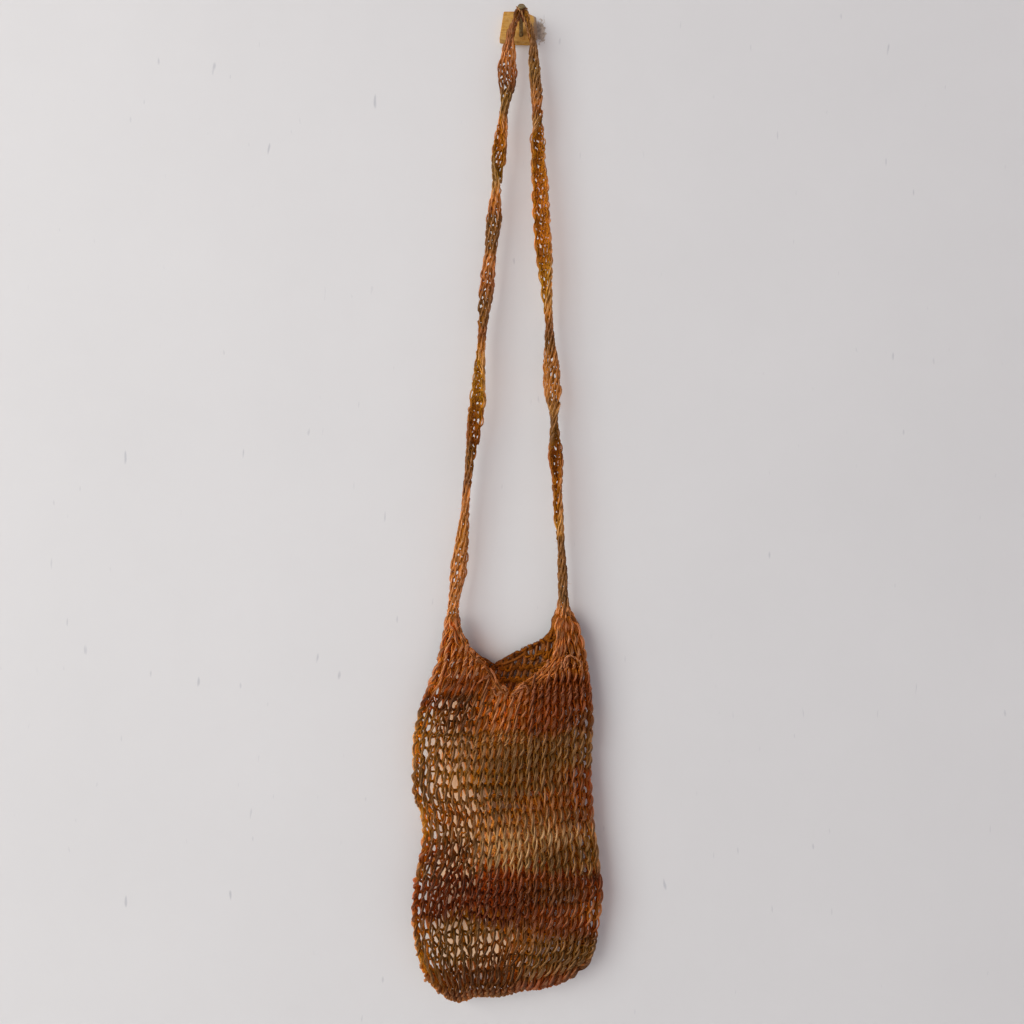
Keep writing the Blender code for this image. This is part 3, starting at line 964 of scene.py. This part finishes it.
def strapSections():
    # (place, half width, turn, facing, curl) from the left end, over the nail, to the right end
    front = Vector((0, -1, 0))
    sides = {}
    for side in ("left", "right"):
        rows = strap[side]
        start, reach = rows[0][0], rows[-1][0] - rows[0][0]
        count = round(reach / strap["step"])
        sides[side] = []
        for n in range(count + 1):
            drop = start + reach * n / count
            _, across, wide, turn = smoothRow(rows, drop)
            place = Vector((across, strap["depth"], -drop))
            sides[side].append((place, wide, turn, front, eased(drop, *strap["curls"])))
    slope = math.radians(strap["nailSlope"])
    axis = Vector((0, -math.cos(slope), math.sin(slope)))
    up = axis.cross(Vector((1, 0, 0)))
    root = Vector(strap["nailRoot"])
    centre = root + axis * (strap["crownReach"] + root.y) / math.cos(slope)
    crown = []
    for n in range(strap["crownSteps"] + 1):
        angle = math.pi * (1 - n / strap["crownSteps"])
        place = centre + strap["crownRadius"] * (Vector((math.cos(angle), 0, 0)) + up * math.sin(angle))
        crown.append((place, strap["crownWide"], 90, axis, 0))
    return sides["left"][::-1] + crown + sides["right"]


def curlAngle(share):
    # the angle whose sine, over the angle itself, is the share of the natural width that shows
    low, high = 0.01, 3.0  # radians
    for _ in range(24):  # times that the range is halved
        middle = (low + high) / 2
        if math.sin(middle) / middle > share:
            low = middle
        else:
            high = middle
    return low


def curled(frame, across, out):
    # a place of the curled band, from the middle of its own width; across runs from -1 to 1
    width, outward, wide, curl, angle = frame[2:7]
    bent = angle * across
    radius = strap["natural"] / angle
    aside = wide * across * (1 - curl) + radius * math.sin(bent) * max(wide / strap["natural"], 1) * curl
    raised = radius * (math.cos(bent) - math.sin(angle) / angle) * curl
    away = outward * math.cos(bent * curl) + width * math.sin(bent * curl)
    return width * aside + outward * raised + away * out


def strapFrames():
    # along the strap: (length, place, width direction, outward direction, half width, curl, curl angle,
    # middle from side to side, how much wider it is drawn)
    sections = strapSections()
    frames = []
    length = 0.0
    for i, (place, wide, turn, facing, curl) in enumerate(sections):
        before = sections[max(i - 1, 0)][0]
        after = sections[min(i + 1, len(sections) - 1)][0]
        along = (after - before).normalized()
        out = (facing - facing.project(along)).normalized()
        side = along.cross(out)
        angle = math.radians(turn)
        width = side * math.cos(angle) + out * math.sin(angle)
        length += (place - before).length
        wide -= strap["trim"]
        share = clamped(wide / strap["natural"], *strap["seen"])
        frame = (length, place, width, -along.cross(width), wide, curl, curlAngle(share))
        faces = (-strap["standOut"], strap["standOut"])
        sides = [curled(frame, n / 4, face).x for n in range(-4, 5) for face in faces]
        middle = (max(sides) + min(sides)) / 2
        drawn = 2 * wide / max(max(sides) - min(sides), wide)
        frames.append((*frame, middle * curl, 1 + (min(drawn, strap["drawn"]) - 1) * curl))
    return frames


def strapPoint(length, across, out):
    n = clamped(int(np.searchsorted(frameLengths, length)) - 1, 0, len(frames) - 2)
    share = (length - frames[n][0]) / (frames[n + 1][0] - frames[n][0])
    frame = [a + (b - a) * share for a, b in zip(frames[n], frames[n + 1])]
    frame[2].normalize()
    frame[3].normalize()
    offset = curled(frame, across, out)
    offset.x = (offset.x - frame[7]) * frame[8]
    return frame[1] + offset


def strapDye(length, across):
    table = strapDyes["left" if length < frameLengths[-1] / 2 else "right"]
    wander = wobble(length / strap["dyePatch"], across, 2)
    drop = -strapPoint(length, 0, 0).z + strap["dyeWander"] * wander + strap["dyeSlant"] * across
    i = rowBelow(table, drop)
    blend = eased(drop, table[i][0], table[i + 1][0])
    usual, uneven = strap["bright"]
    bright = usual + uneven * wobble(length / strap["brightPatch"], across * 3, 4)
    dye = mixed(shades[table[i][1]], shades[table[i + 1][1]], blend)
    return scaled(mixed(dye, strap["faded"], strap["fading"]), bright)


def strapStop(length, across, out):
    long, often = strap["patch"]
    spot = Vector((length / long, across * often, 11))
    finer = noise.noise_vector(spot * strap["finer"]) * strap["uneven"]
    wander = noise.noise_vector(spot) * strap["uneven"] + finer
    calm = eased(abs(frameLengths[-1] / 2 - length), *strap["calm"])
    along, aside, raised = (most * calm * part for most, part in zip(strap["wander"], wander))
    thick = string["thick"] * strap["string"]
    place = strapPoint(length + along, across + aside, thick * (out + raised))
    return place, strapDye(length, across), liftOf(out), strap["string"]


def workStrap(first, last):
    turned, edge, under = strap["edgeStop"]
    run = []
    for row in range(first, last):
        shifted = strap["shift"] if row % 2 else -strap["shift"]
        stops = []
        for n in range(strap["columns"]):
            for across, up, out in strapLoop:
                place = 2 * (n + 0.5 + across + shifted) / strap["columns"] - 1
                along = row + (up - 0.5) * strap["stretch"] + 0.5
                stops.append(strapStop(along * strap["row"], place, out))
        stops.append(strapStop((row + turned) * strap["row"], edge, under))
        run += stops[::-1] if row % 2 else stops
    return run


frames = strapFrames()
frameLengths = [row[0] for row in frames]
strapRows = int(frameLengths[-1] / strap["row"])
strapParts = []
for name, first, last in (("strapLeft", 0, strapRows // 2), ("strapRight", strapRows // 2, strapRows)):
    run = workStrap(first, last)
    strapParts.append(spinString(name, run, last - first, 20 + first, strap["turn"], strap["rings"]))
print("strap worked,", round(frameLengths[-1], 3), "m")

# ---- strands along the mouth, a seam along the bottom, a pulled loop and the strands over the nail

rims = {
    "ply": 0.034,  # length in which the plies of a strand go once round
    "outlineRow": 4,  # row of the pouch's outline that gives the width of the mouth
    "slopeOver": 0.002,  # drop over which the slope of the mouth's edge is found
    "shares": (0.004, 0.996),  # how far across the strands may lie
    "steps": 34,
    "closer": 1.15,  # the steps lie closer at the lowest place of the mouth
    "uneven": 0.6,  # of the twist, in radians
    "stray": 0.0012,
    "shadeUneven": 0.25,
    "staggered": 0.25,  # each strand comes out a little further on
    "out": (0.0012, 0.0011),  # of the fabric, and how far it rises and falls as it twists
    "sunk": (0.0030, 5, 0.3),  # how deep it begins, over how many steps, and how much thinner
    "lift": {-1: 0.6, 1: 0.3},  # at the front and at the back, where the lower lift paints the strands darker: painted shade
    "strapLift": 0.8,
    "strapFrom": 0.016,  # where it joins the strap, and how it runs on there
    "strapStep": 0.006,
    "strapAcross": 0.6,
    "strapWave": 0.02,
    "strapOut": 0.0010,
    "strapThinner": 0.5,
    "right": {
        "strands": 4, "fatness": 0.84, "shade": 1.45, "brightened": 0.7, "start": 0.15,
        "upTo": 0.050, "inset": 0.0006, "gap": 0.0032, "twist": 0.420,
    },
    "left": {
        "strands": 2, "fatness": 0.80, "shade": 0.75, "brightened": 0.0, "start": 0.0,
        "upTo": 0.020, "inset": 0.0008, "gap": 0.0024, "twist": 0.150,
    },
    "back": {
        "strands": 3, "fatness": 1.05, "shade": 0.95, "brightened": 0.0, "start": 0.0,
        "upTo": 0.0, "inset": -0.0012, "gap": 0.0024, "twist": 0.150,
    },
}

seam = {
    "lift": 0.0034,  # how far above the bottom edge its middle lies
    "radius": 0.0026,
    "turns": 6,
    "strands": 5,  # laid along the bottom
    "steps": 70,
    "span": (0.008, 0.984),  # where across it begins, and how far it reaches
    "rows": (0.2, 0.3),  # of the pouch, that it takes its place and its dye from
    "fatness": 1.12,
    "shade": 1.45,
    "uneven": (0.9, 0.5, 0.4),  # of its twist, its radius and its shade
    "lifts": (0.35, 0.45),  # the usual one, and how far it swings as the strand goes round; it is painted darker where it turns towards the wall: painted shade
}

pulledLoop = {
    "fatness": 0.7,
    "shade": 1.2,
    "path": (  # share across, row, string thicknesses out, over the front of the right ear
        (0.845, 24.9, -0.5), (0.835, 25.5, 0.8), (0.845, 26.0, 1.8), (0.875, 26.25, 2.2),
        (0.915, 26.1, 2.0), (0.945, 25.6, 1.4), (0.950, 25.0, 0.5), (0.940, 24.6, -0.6),
    ),
}

crownStrands = {  # strands that cross in front of the nail
    "forward": 0.0011,
    "fatness": 0.90,
    "lift": 0.8,
    "paths": {
        "tan": (
            (-0.0040, -0.0245, 0.0075), (-0.0022, -0.0266, 0.0046), (0.0000, -0.0270, 0.0016),
            (0.0024, -0.0256, -0.0024), (0.0046, -0.0240, -0.0075), (0.0068, -0.0226, -0.0135),
            (0.0090, -0.0215, -0.0210), (0.0110, -0.0206, -0.0300),
        ),
        "brown": (
            (0.0035, -0.0240, 0.0075), (0.0018, -0.0262, 0.0046), (-0.0006, -0.0266, 0.0014),
            (-0.0034, -0.0250, -0.0030), (-0.0058, -0.0234, -0.0090), (-0.0082, -0.0222, -0.0170),
            (-0.0104, -0.0214, -0.0270), (-0.0122, -0.0205, -0.0380),
        ),
        "rust": (
            (0.0038, -0.0225, 0.0070), (0.0016, -0.0246, 0.0034), (-0.0012, -0.0244, -0.0006),
            (-0.0040, -0.0232, -0.0060), (-0.0066, -0.0222, -0.0130), (-0.0092, -0.0214, -0.0220),
            (-0.0114, -0.0208, -0.0320),
        ),
        "maroon": (
            (-0.0038, -0.0225, 0.0070), (-0.0016, -0.0232, 0.0024), (0.0008, -0.0229, -0.0008),
            (0.0034, -0.0226, -0.0050), (0.0058, -0.0220, -0.0110), (0.0080, -0.0214, -0.0180),
            (0.0102, -0.0206, -0.0270),
        ),
    },
}


def rimPlace(face, side, drop, inset, out):
    # a place inside an edge of the mouth, at a distance from it
    line = pouch["mouth"][face, side]
    _, left, right, _ = pouch["outline"][rims["outlineRow"]]
    wide = (right - left) / 2
    near = rims["slopeOver"]

    def edge(level):
        return Vector((lineAt(line, level) * wide, -level))

    slope = (edge(drop + near) - edge(drop - near)).normalized()
    inward = Vector((-slope.y, slope.x))
    if inward.y > 0:
        inward.negate()
    spot = edge(drop) + inward * inset
    share = clamped((spot.x / wide + 1) / 2, *rims["shares"])
    return pouchPoint(turnOf(face, share), rowOf(-spot.y), out)


def rimRun(face, side, kind, strand):
    # one strand from the lowest place of the mouth up to the ear, then on along the strap
    settings = rims[kind]
    line = pouch["mouth"][face, side]
    low, high = line[-1][0], line[1][0]
    middle = (settings["strands"] - 1) / 2
    spread = (strand - middle) * settings["gap"]
    start = settings["start"] * (1 + rims["staggered"] * strand)
    deep, sunkSteps, thinner = rims["sunk"]
    run = []
    travelled = 0.0
    for n in range(rims["steps"] + 1):
        drop = low + (high - low) * (start + (1 - start) * n / rims["steps"]) ** rims["closer"]
        angle = 2 * math.pi * travelled / settings["twist"]
        angle += rims["uneven"] * wobble(strand * 7, n / 6, side)
        inset = settings["inset"] + settings["gap"] * middle + spread * math.cos(angle)
        inset += rims["stray"] * wobble(n / 3, strand, 5)
        sunk = easedOut(n, 0, sunkSteps) if start else 0
        out = rims["out"][0] + rims["out"][1] * math.sin(angle + strand) - deep * sunk
        dye = pouchDye(turnOf(face, mouthShare(face, side, drop)), rowOf(drop))
        dull = settings["shade"] * (1 + rims["shadeUneven"] * wobble(n / 3, strand, 1))
        dye = scaled(mixed(dye, shades["orange"], settings["brightened"]), dull)
        place = rimPlace(face, side, drop, inset, out)
        run.append((place, dye, rims["lift"][face], settings["fatness"] * (1 - thinner * sunk)))
        travelled += (run[-1][0] - run[-2][0]).length if n else 0
    past = rims["strapFrom"]
    while past < settings["upTo"]:
        across = (strand - middle) / max(middle, 1) * rims["strapAcross"]
        across *= math.cos(past / rims["strapWave"])
        length = frameLengths[-1] - past if side > 0 else past
        fat = settings["fatness"] * (1 - rims["strapThinner"] * past / settings["upTo"])
        place = strapPoint(length, across, rims["strapOut"])
        run.append((place, strapDye(length, across), rims["strapLift"], fat))
        past += rims["strapStep"]
    return run


def addStrands(name, runs, strips, turn=string["turn"]):
    # several strands joined in one piece
    strands = [spinString(name, run, strips, number * 3.7, turn) for number, run in enumerate(runs)]
    if len(strands) > 1:
        with bpy.context.temp_override(active_object=strands[0], selected_editable_objects=strands):
            bpy.ops.object.join()
    paintShadeInside(strands[0])
    return strands[0]


def seamRun(number):
    # one of the strands that twist loosely round each other along the bottom edge
    start, reach = seam["span"]
    placeRow, dyeRow = seam["rows"]
    twistUneven, radiusUneven, shadeUneven = seam["uneven"]
    middle, swing = seam["lifts"]
    run = []
    for n in range(seam["steps"] + 1):
        share = start + reach * n / seam["steps"]
        angle = 2 * math.pi * (number / seam["strands"] + seam["turns"] * n / seam["steps"])
        angle += twistUneven * wobble(share * 9, number, 3)
        radius = seam["radius"] * (1 + radiusUneven * wobble(share * 19, number, 5))
        x = pouchPlace(share / 2, placeRow).x
        y = pouch["middle"] + radius * math.cos(angle)
        z = seam["lift"] - pouchDrop(share, 0) + radius * math.sin(angle)
        bright = seam["shade"] * (1 + shadeUneven * wobble(share * 17, number, 8))
        dye = scaled(pouchDye(share / 2, dyeRow), bright)
        run.append((Vector((x, y, z)), dye, middle - swing * math.cos(angle), seam["fatness"]))
    return run


for name, face, side, kind in (
    ("rimRight", -1, 1, "right"),
    ("rimLeft", -1, -1, "left"),
    ("rimBackRight", 1, 1, "back"),
    ("rimBackLeft", 1, -1, "back"),
):
    runs = [rimRun(face, side, kind, strand) for strand in range(rims[kind]["strands"])]
    netParts.append(addStrands(name, runs, 2, rims["ply"]))
netParts.append(addStrands("bottomSeam", [seamRun(number) for number in range(seam["strands"])], 3))
pulled = []
for share, row, out in pulledLoop["path"]:
    dye = scaled(pouchDye(share / 2, row), pulledLoop["shade"])
    pulled.append((pouchPoint(share / 2, row, out * string["thick"]), dye, 1.0, pulledLoop["fatness"]))
netParts.append(addStrands("pulledLoop", [pulled], 1))
crossing = []
forward = Vector((0, -crownStrands["forward"], 0))
looks = (crownStrands["lift"], crownStrands["fatness"])
for shade, path in crownStrands["paths"].items():
    crossing.append([(Vector(place) + forward, shades[shade], *looks) for place in path])
strapParts.append(addStrands("crownStrands", crossing, 1))
print("edges worked")

# ---- loose fibres that stand out of the string

fuzz = {
    "count": 2200,
    "bagShare": (3, 4),  # of all fibres, and the rest are on the strap
    "seed": 7,
    "length": (0.0020, 0.0060),
    "thick": 0.00011,
    "taper": 0.6,
    "lean": 0.8,
    "bend": 0.55,
    "scatter": 0.6,
    "points": 4,
    "bright": 1.15,
    "lift": 0.9,
}


def scatter(draw, spread):
    return Vector([draw.gauss(0, spread) for _ in range(3)])


def addFuzz(name, pieces, settings, count):
    draw = random.Random(settings["seed"] + len(pieces))
    curve = newCurve(name)
    curve.bevel_depth = settings["thick"]
    curve.bevel_resolution = 0
    dyes = []
    weights = [len(piece.data.vertices) for piece in pieces]
    steps = settings["points"] - 1
    for _ in range(count):
        mesh = draw.choices(pieces, weights)[0].data
        vertex = draw.randrange(len(mesh.vertices))
        place = mesh.vertices[vertex].co.copy()
        way = mesh.vertices[vertex].normal.copy()
        aside = scatter(draw, 1)
        way = (way + settings["lean"] * (aside - aside.project(way)).normalized()).normalized()
        step = draw.uniform(*settings["length"]) / steps
        line = curve.splines.new("POLY")
        line.points.add(steps)
        for n, point in enumerate(line.points):
            point.co = (*place, 1)
            point.radius = 1 - settings["taper"] * n / steps
            way = (way + settings["bend"] * scatter(draw, settings["scatter"])).normalized()
            place += way * step
        dye = mesh.color_attributes["dye"].data[vertex].color[:3]
        dyes.append((*scaled(dye, settings["bright"]), 1))
    mesh = meshOf(name, curve)
    points = len(mesh.vertices)
    ends = bmesh.new()
    ends.from_mesh(mesh)
    bmesh.ops.holes_fill(ends, edges=[edge for edge in ends.edges if edge.is_boundary])
    ends.to_mesh(mesh)
    ends.free()
    dyes = np.repeat(dyes, points // count, 0)
    keepOnPoints(mesh, dyes, np.full(points, settings["lift"]), np.zeros(points))
    while mesh.uv_layers:
        mesh.uv_layers.remove(mesh.uv_layers[0])
    mesh.uv_layers.new(name="Along")
    mesh.shade_smooth()
    return addObject(name, mesh)


part, whole = fuzz["bagShare"]
bagFuzz = addFuzz("bagFibres", netParts, fuzz, fuzz["count"] * part // whole)
strapFuzz = addFuzz("strapFibres", strapParts, fuzz, fuzz["count"] * (whole - part) // whole)
netParts.append(bagFuzz)
strapParts.append(strapFuzz)
for piece in netParts + strapParts:
    print(piece.name, len(piece.data.polygons), "faces")

# ---- yarn finish

yarn = {
    "slant": 6.0,  # of the fibres to the plies
    "tube": (16.0, 1.5),  # how long and how thick their noise sees the string
    "fibre": (2.2, 3.0),  # scale and detail
    "fleck": (0.9, 2.0),
    "blotch": (60.0, 2.0),
    "pale": (1.3, 2.0, 0.58, 0.66),
    "paintedLiftShade": (0.62, 0.65),  # how strongly each of them changes the brightness, and from what; by the lift, string deep in the fabric is painted darker and string on top lighter: painted shade and highlight
    "fibreShade": (1.6, 0.30),
    "fleckShade": (1.25, 0.75),
    "blotchShade": (0.8, 0.60),
    # painted shade in the groove between the plies
    "grooveShade": (-0.55, 1.1),
    # painted highlight and shade: string on top is paler, deep string more saturated
    "saturation": (-0.54, 1.15),
    "rough": (-0.25, 0.90),
    "grooveDepth": -0.8,
    # colour of the pale flecks: partly fibres pale from wear, partly painted highlight
    "wearAndHighlight": (0.84, 0.48, 0.23),
    "bump": (0.7, 0.0004),
    "specular": 0.10,
}

bagFinish = {
    "flecks": 0.25,  # how much of the pale flecks shows: partly fibres pale from wear, partly painted highlight
    "passes": (0.60, 0.44, 0.30),  # light through the close fabric, and through the open
    "passesOpen": (1.13, 1.03, 0.92),
}

strapFinish = {
    "flecks": 0.60,
    "passes": (0.90, 0.86, 0.84),
    "passesOpen": (0.90, 0.86, 0.84),
}


def makeYarnGroup(settings):
    tree = bpy.data.node_groups.new("yarnFibres", "ShaderNodeTree")
    for way, kind, names in (
        ("INPUT", "Color", ["Dye"]),
        ("INPUT", "Vector", ["Along", "Place"]),
        ("INPUT", "Float", ["Groove", "Lift", "Flecks"]),
        ("OUTPUT", "Color", ["Colour"]),
        ("OUTPUT", "Float", ["Roughness", "Height"]),
    ):
        for name in names:
            tree.interface.new_socket(name, in_out=way, socket_type=f"NodeSocket{kind}")
    given = tree.nodes.new("NodeGroupInput").outputs
    made = tree.nodes.new("NodeGroupOutput")
    # fibres run at a slant to the plies, round a seamless tube
    split = addNode(tree, "SeparateXYZ", {0: given["Along"]}).outputs
    slant = mathNode(tree, "MULTIPLY_ADD", split["X"], settings["slant"], split["Y"])
    angle = mathNode(tree, "MULTIPLY", slant, 2 * math.pi)
    long, thick = settings["tube"]
    along = mathNode(tree, "MULTIPLY", split["X"], long)
    aside = mathNode(tree, "MULTIPLY", mathNode(tree, "COSINE", angle), thick)
    above = mathNode(tree, "MULTIPLY", mathNode(tree, "SINE", angle), thick)
    tube = addNode(tree, "CombineXYZ", {"X": along, "Y": aside, "Z": above}).outputs[0]
    fibre = noiseNode(tree, tube, *settings["fibre"])
    fleck = noiseNode(tree, tube, *settings["fleck"])
    blotch = noiseNode(tree, given["Place"], *settings["blotch"])
    # painted shade and highlight: string deep in the fabric darker, string on top lighter
    value = mathNode(tree, "MULTIPLY_ADD", given["Lift"], *settings["paintedLiftShade"])
    # the groove part paints shade between the plies; fibre, fleck and blotch are tone that varies at
    # random
    parts = {"fibre": fibre, "fleck": fleck, "blotch": blotch, "groove": given["Groove"]}
    for name, part in parts.items():
        shade = mathNode(tree, "MULTIPLY_ADD", part, *settings[name + "Shade"])
        value = mathNode(tree, "MULTIPLY", value, shade)
    # painted highlight: string on top is paler, deep string more saturated
    faded = mathNode(tree, "MULTIPLY", given["Lift"], fibre)
    saturation = mathNode(tree, "MULTIPLY_ADD", faded, *settings["saturation"])
    feeds = {"Color": given["Dye"], "Value": value, "Saturation": saturation}
    dyed = addNode(tree, "HueSaturation", feeds).outputs[0]
    # pale flecks on string that lies on top: partly fibres pale from wear, partly painted highlight
    scale, detail, low, high = settings["pale"]
    pale = rampNode(tree, noiseNode(tree, tube, scale, detail), low, high, toHigh=given["Flecks"])
    wearAndHighlight = mathNode(tree, "MULTIPLY", pale, given["Lift"])
    feedNode(tree, made, {
        "Colour": mixColours(tree, wearAndHighlight, dyed, settings["wearAndHighlight"]),
        "Roughness": mathNode(tree, "MULTIPLY_ADD", fibre, *settings["rough"]),
        "Height": mathNode(tree, "MULTIPLY_ADD", given["Groove"], settings["grooveDepth"], fibre),
    })
    return tree


def yarnMaterial(name, group, settings):
    material, tree, shader = newMaterial(name)
    names = ("groove", "lift", "dye")
    groove, lift, dye = (addNode(tree, "Attribute", attribute_name=key).outputs for key in names)
    feeds = {
        "Flecks": settings["flecks"],
        "Groove": groove["Fac"],
        "Lift": lift["Fac"],
        "Dye": dye["Color"],
        "Along": addNode(tree, "UVMap", uv_map="Along").outputs[0],
        "Place": addNode(tree, "TexCoord").outputs["Object"],
    }
    fibres = addNode(tree, "Group", feeds, node_tree=group).outputs
    feedNode(tree, shader, {
        "Base Color": fibres["Colour"],
        "Roughness": fibres["Roughness"],
        "Normal": bumpNode(tree, fibres["Height"], *yarn["bump"]),
        "Specular IOR Level": yarn["specular"],
    })
    # some light gets through the fibres, warmed by them
    tint = mixColours(tree, dye["Alpha"], settings["passes"], settings["passesOpen"])
    through = addNode(tree, "BsdfTransparent", {"Color": tint}).outputs[0]
    shadow = addNode(tree, "LightPath").outputs["Is Shadow Ray"]
    mixShaders(tree, shadow, shader.outputs[0], through, "Material Output")
    return material


yarnGroup = makeYarnGroup(yarn)
bagYarn = yarnMaterial("bagString", yarnGroup, bagFinish)
strapYarn = yarnMaterial("strapString", yarnGroup, strapFinish)
print("yarn finished")

# ---- nail and block finish

nailFinish = {
    "steel": (0.220, 0.160, 0.060),
    "bright": (0.440, 0.340, 0.180),
    "rust": (0.200, 0.095, 0.020),
    "rustPatches": (420.0, 5.0, 0.46, 0.62),
    "scuffs": (900.0, 3.0, 0.58, 0.70),
    "fine": (2600.0, 4.0),
    "metallic": (0.40, 0.10),  # clean, and where it is rusty
    "rough": (0.42, 0.80),
    "bump": (0.5, 0.0002),
}

blockFinish = {
    "ochre": (0.640, 0.335, 0.060),
    "dark": (0.400, 0.160, 0.020),
    "wearAndHighlight": (0.740, 0.520, 0.200),
    "endGrey": (0.340, 0.230, 0.150),
    "grainScale": (60.0, 420.0, 420.0),  # the grain runs along x
    "grain": (1.0, 6.0, 0.65),
    "streaks": (0.35, 0.68),
    "wornPatches": (150.0, 4.0, 0.38, 0.66),
    "wornShare": 0.45,
    "chips": (520.0, 5.0, 0.60, 0.66),
    "endGreyFrom": 0.0120,  # x past which its right end turns greyish brown
    "endGreyEdge": (260.0, 4.0),
    "endGreyRagged": 0.007,
    "endGreySoft": 0.0006,
    "rough": 0.78,
    "specular": 0.25,
    "bump": (0.7, 0.0005),
}


def nailMaterial(settings):
    material, tree, shader = newMaterial("nailSteel")
    place = addNode(tree, "TexCoord").outputs["Object"]
    rusty = patches(tree, place, settings["rustPatches"])
    scuffs = patches(tree, place, settings["scuffs"])
    colour = mixColours(tree, scuffs, settings["steel"], settings["bright"])
    feedNode(tree, shader, {
        "Base Color": mixColours(tree, rusty, colour, settings["rust"]),
        "Metallic": rampNode(tree, rusty, 0, 1, *settings["metallic"]),
        "Roughness": rampNode(tree, rusty, 0, 1, *settings["rough"]),
        "Normal": bumpNode(tree, noiseNode(tree, place, *settings["fine"]), *settings["bump"]),
    })
    return material


def blockMaterial(settings):
    material, tree, shader = newMaterial("blockWood")
    place = addNode(tree, "TexCoord").outputs["Object"]
    stretched = addNode(tree, "Mapping", {"Vector": place, "Scale": settings["grainScale"]}).outputs[0]
    grain = noiseNode(tree, stretched, *settings["grain"])
    streak = rampNode(tree, grain, *settings["streaks"])
    colour = mixColours(tree, streak, settings["dark"], settings["ochre"])
    wearAndHighlight = mathNode(tree, "MULTIPLY", patches(tree, place, settings["wornPatches"]), settings["wornShare"])
    colour = mixColours(tree, wearAndHighlight, colour, settings["wearAndHighlight"])
    colour = mixColours(tree, patches(tree, place, settings["chips"]), colour, settings["dark"])
    # greyish brown on its right end, with a ragged border
    x = addNode(tree, "SeparateXYZ", {0: place}).outputs["X"]
    border = noiseNode(tree, place, *settings["endGreyEdge"])
    ragged = mathNode(tree, "MULTIPLY_ADD", border, settings["endGreyRagged"], x)
    edge = settings["endGreyFrom"] + settings["endGreyRagged"] / 2
    soft = settings["endGreySoft"]
    greyedEnd = rampNode(tree, ragged, edge - soft, edge + soft)
    colour = mixColours(tree, greyedEnd, colour, settings["endGrey"])
    feedNode(tree, shader, {
        "Base Color": colour,
        "Roughness": settings["rough"],
        "Specular IOR Level": settings["specular"],
        "Normal": bumpNode(tree, grain, *settings["bump"]),
    })
    return material


def finishNode(node, material):
    node.data.materials.clear()
    node.data.materials.append(material)


finishNode(frame["nodes"]["nail"], nailMaterial(nailFinish))
finishNode(frame["nodes"]["wall_block"], blockMaterial(blockFinish))
print("nail and block finished")

# ---- what each piece rides on and replaces

for pieces, material, node, slot in (
    (netParts, bagYarn, "bag_body", "bag_yarn"),
    (strapParts, strapYarn, "strap", "strap_yarn"),
):
    for piece in pieces:
        piece.data.materials.append(material)
        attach(piece, "root")
        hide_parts(node)
bpy.data.objects.remove(stringSection)
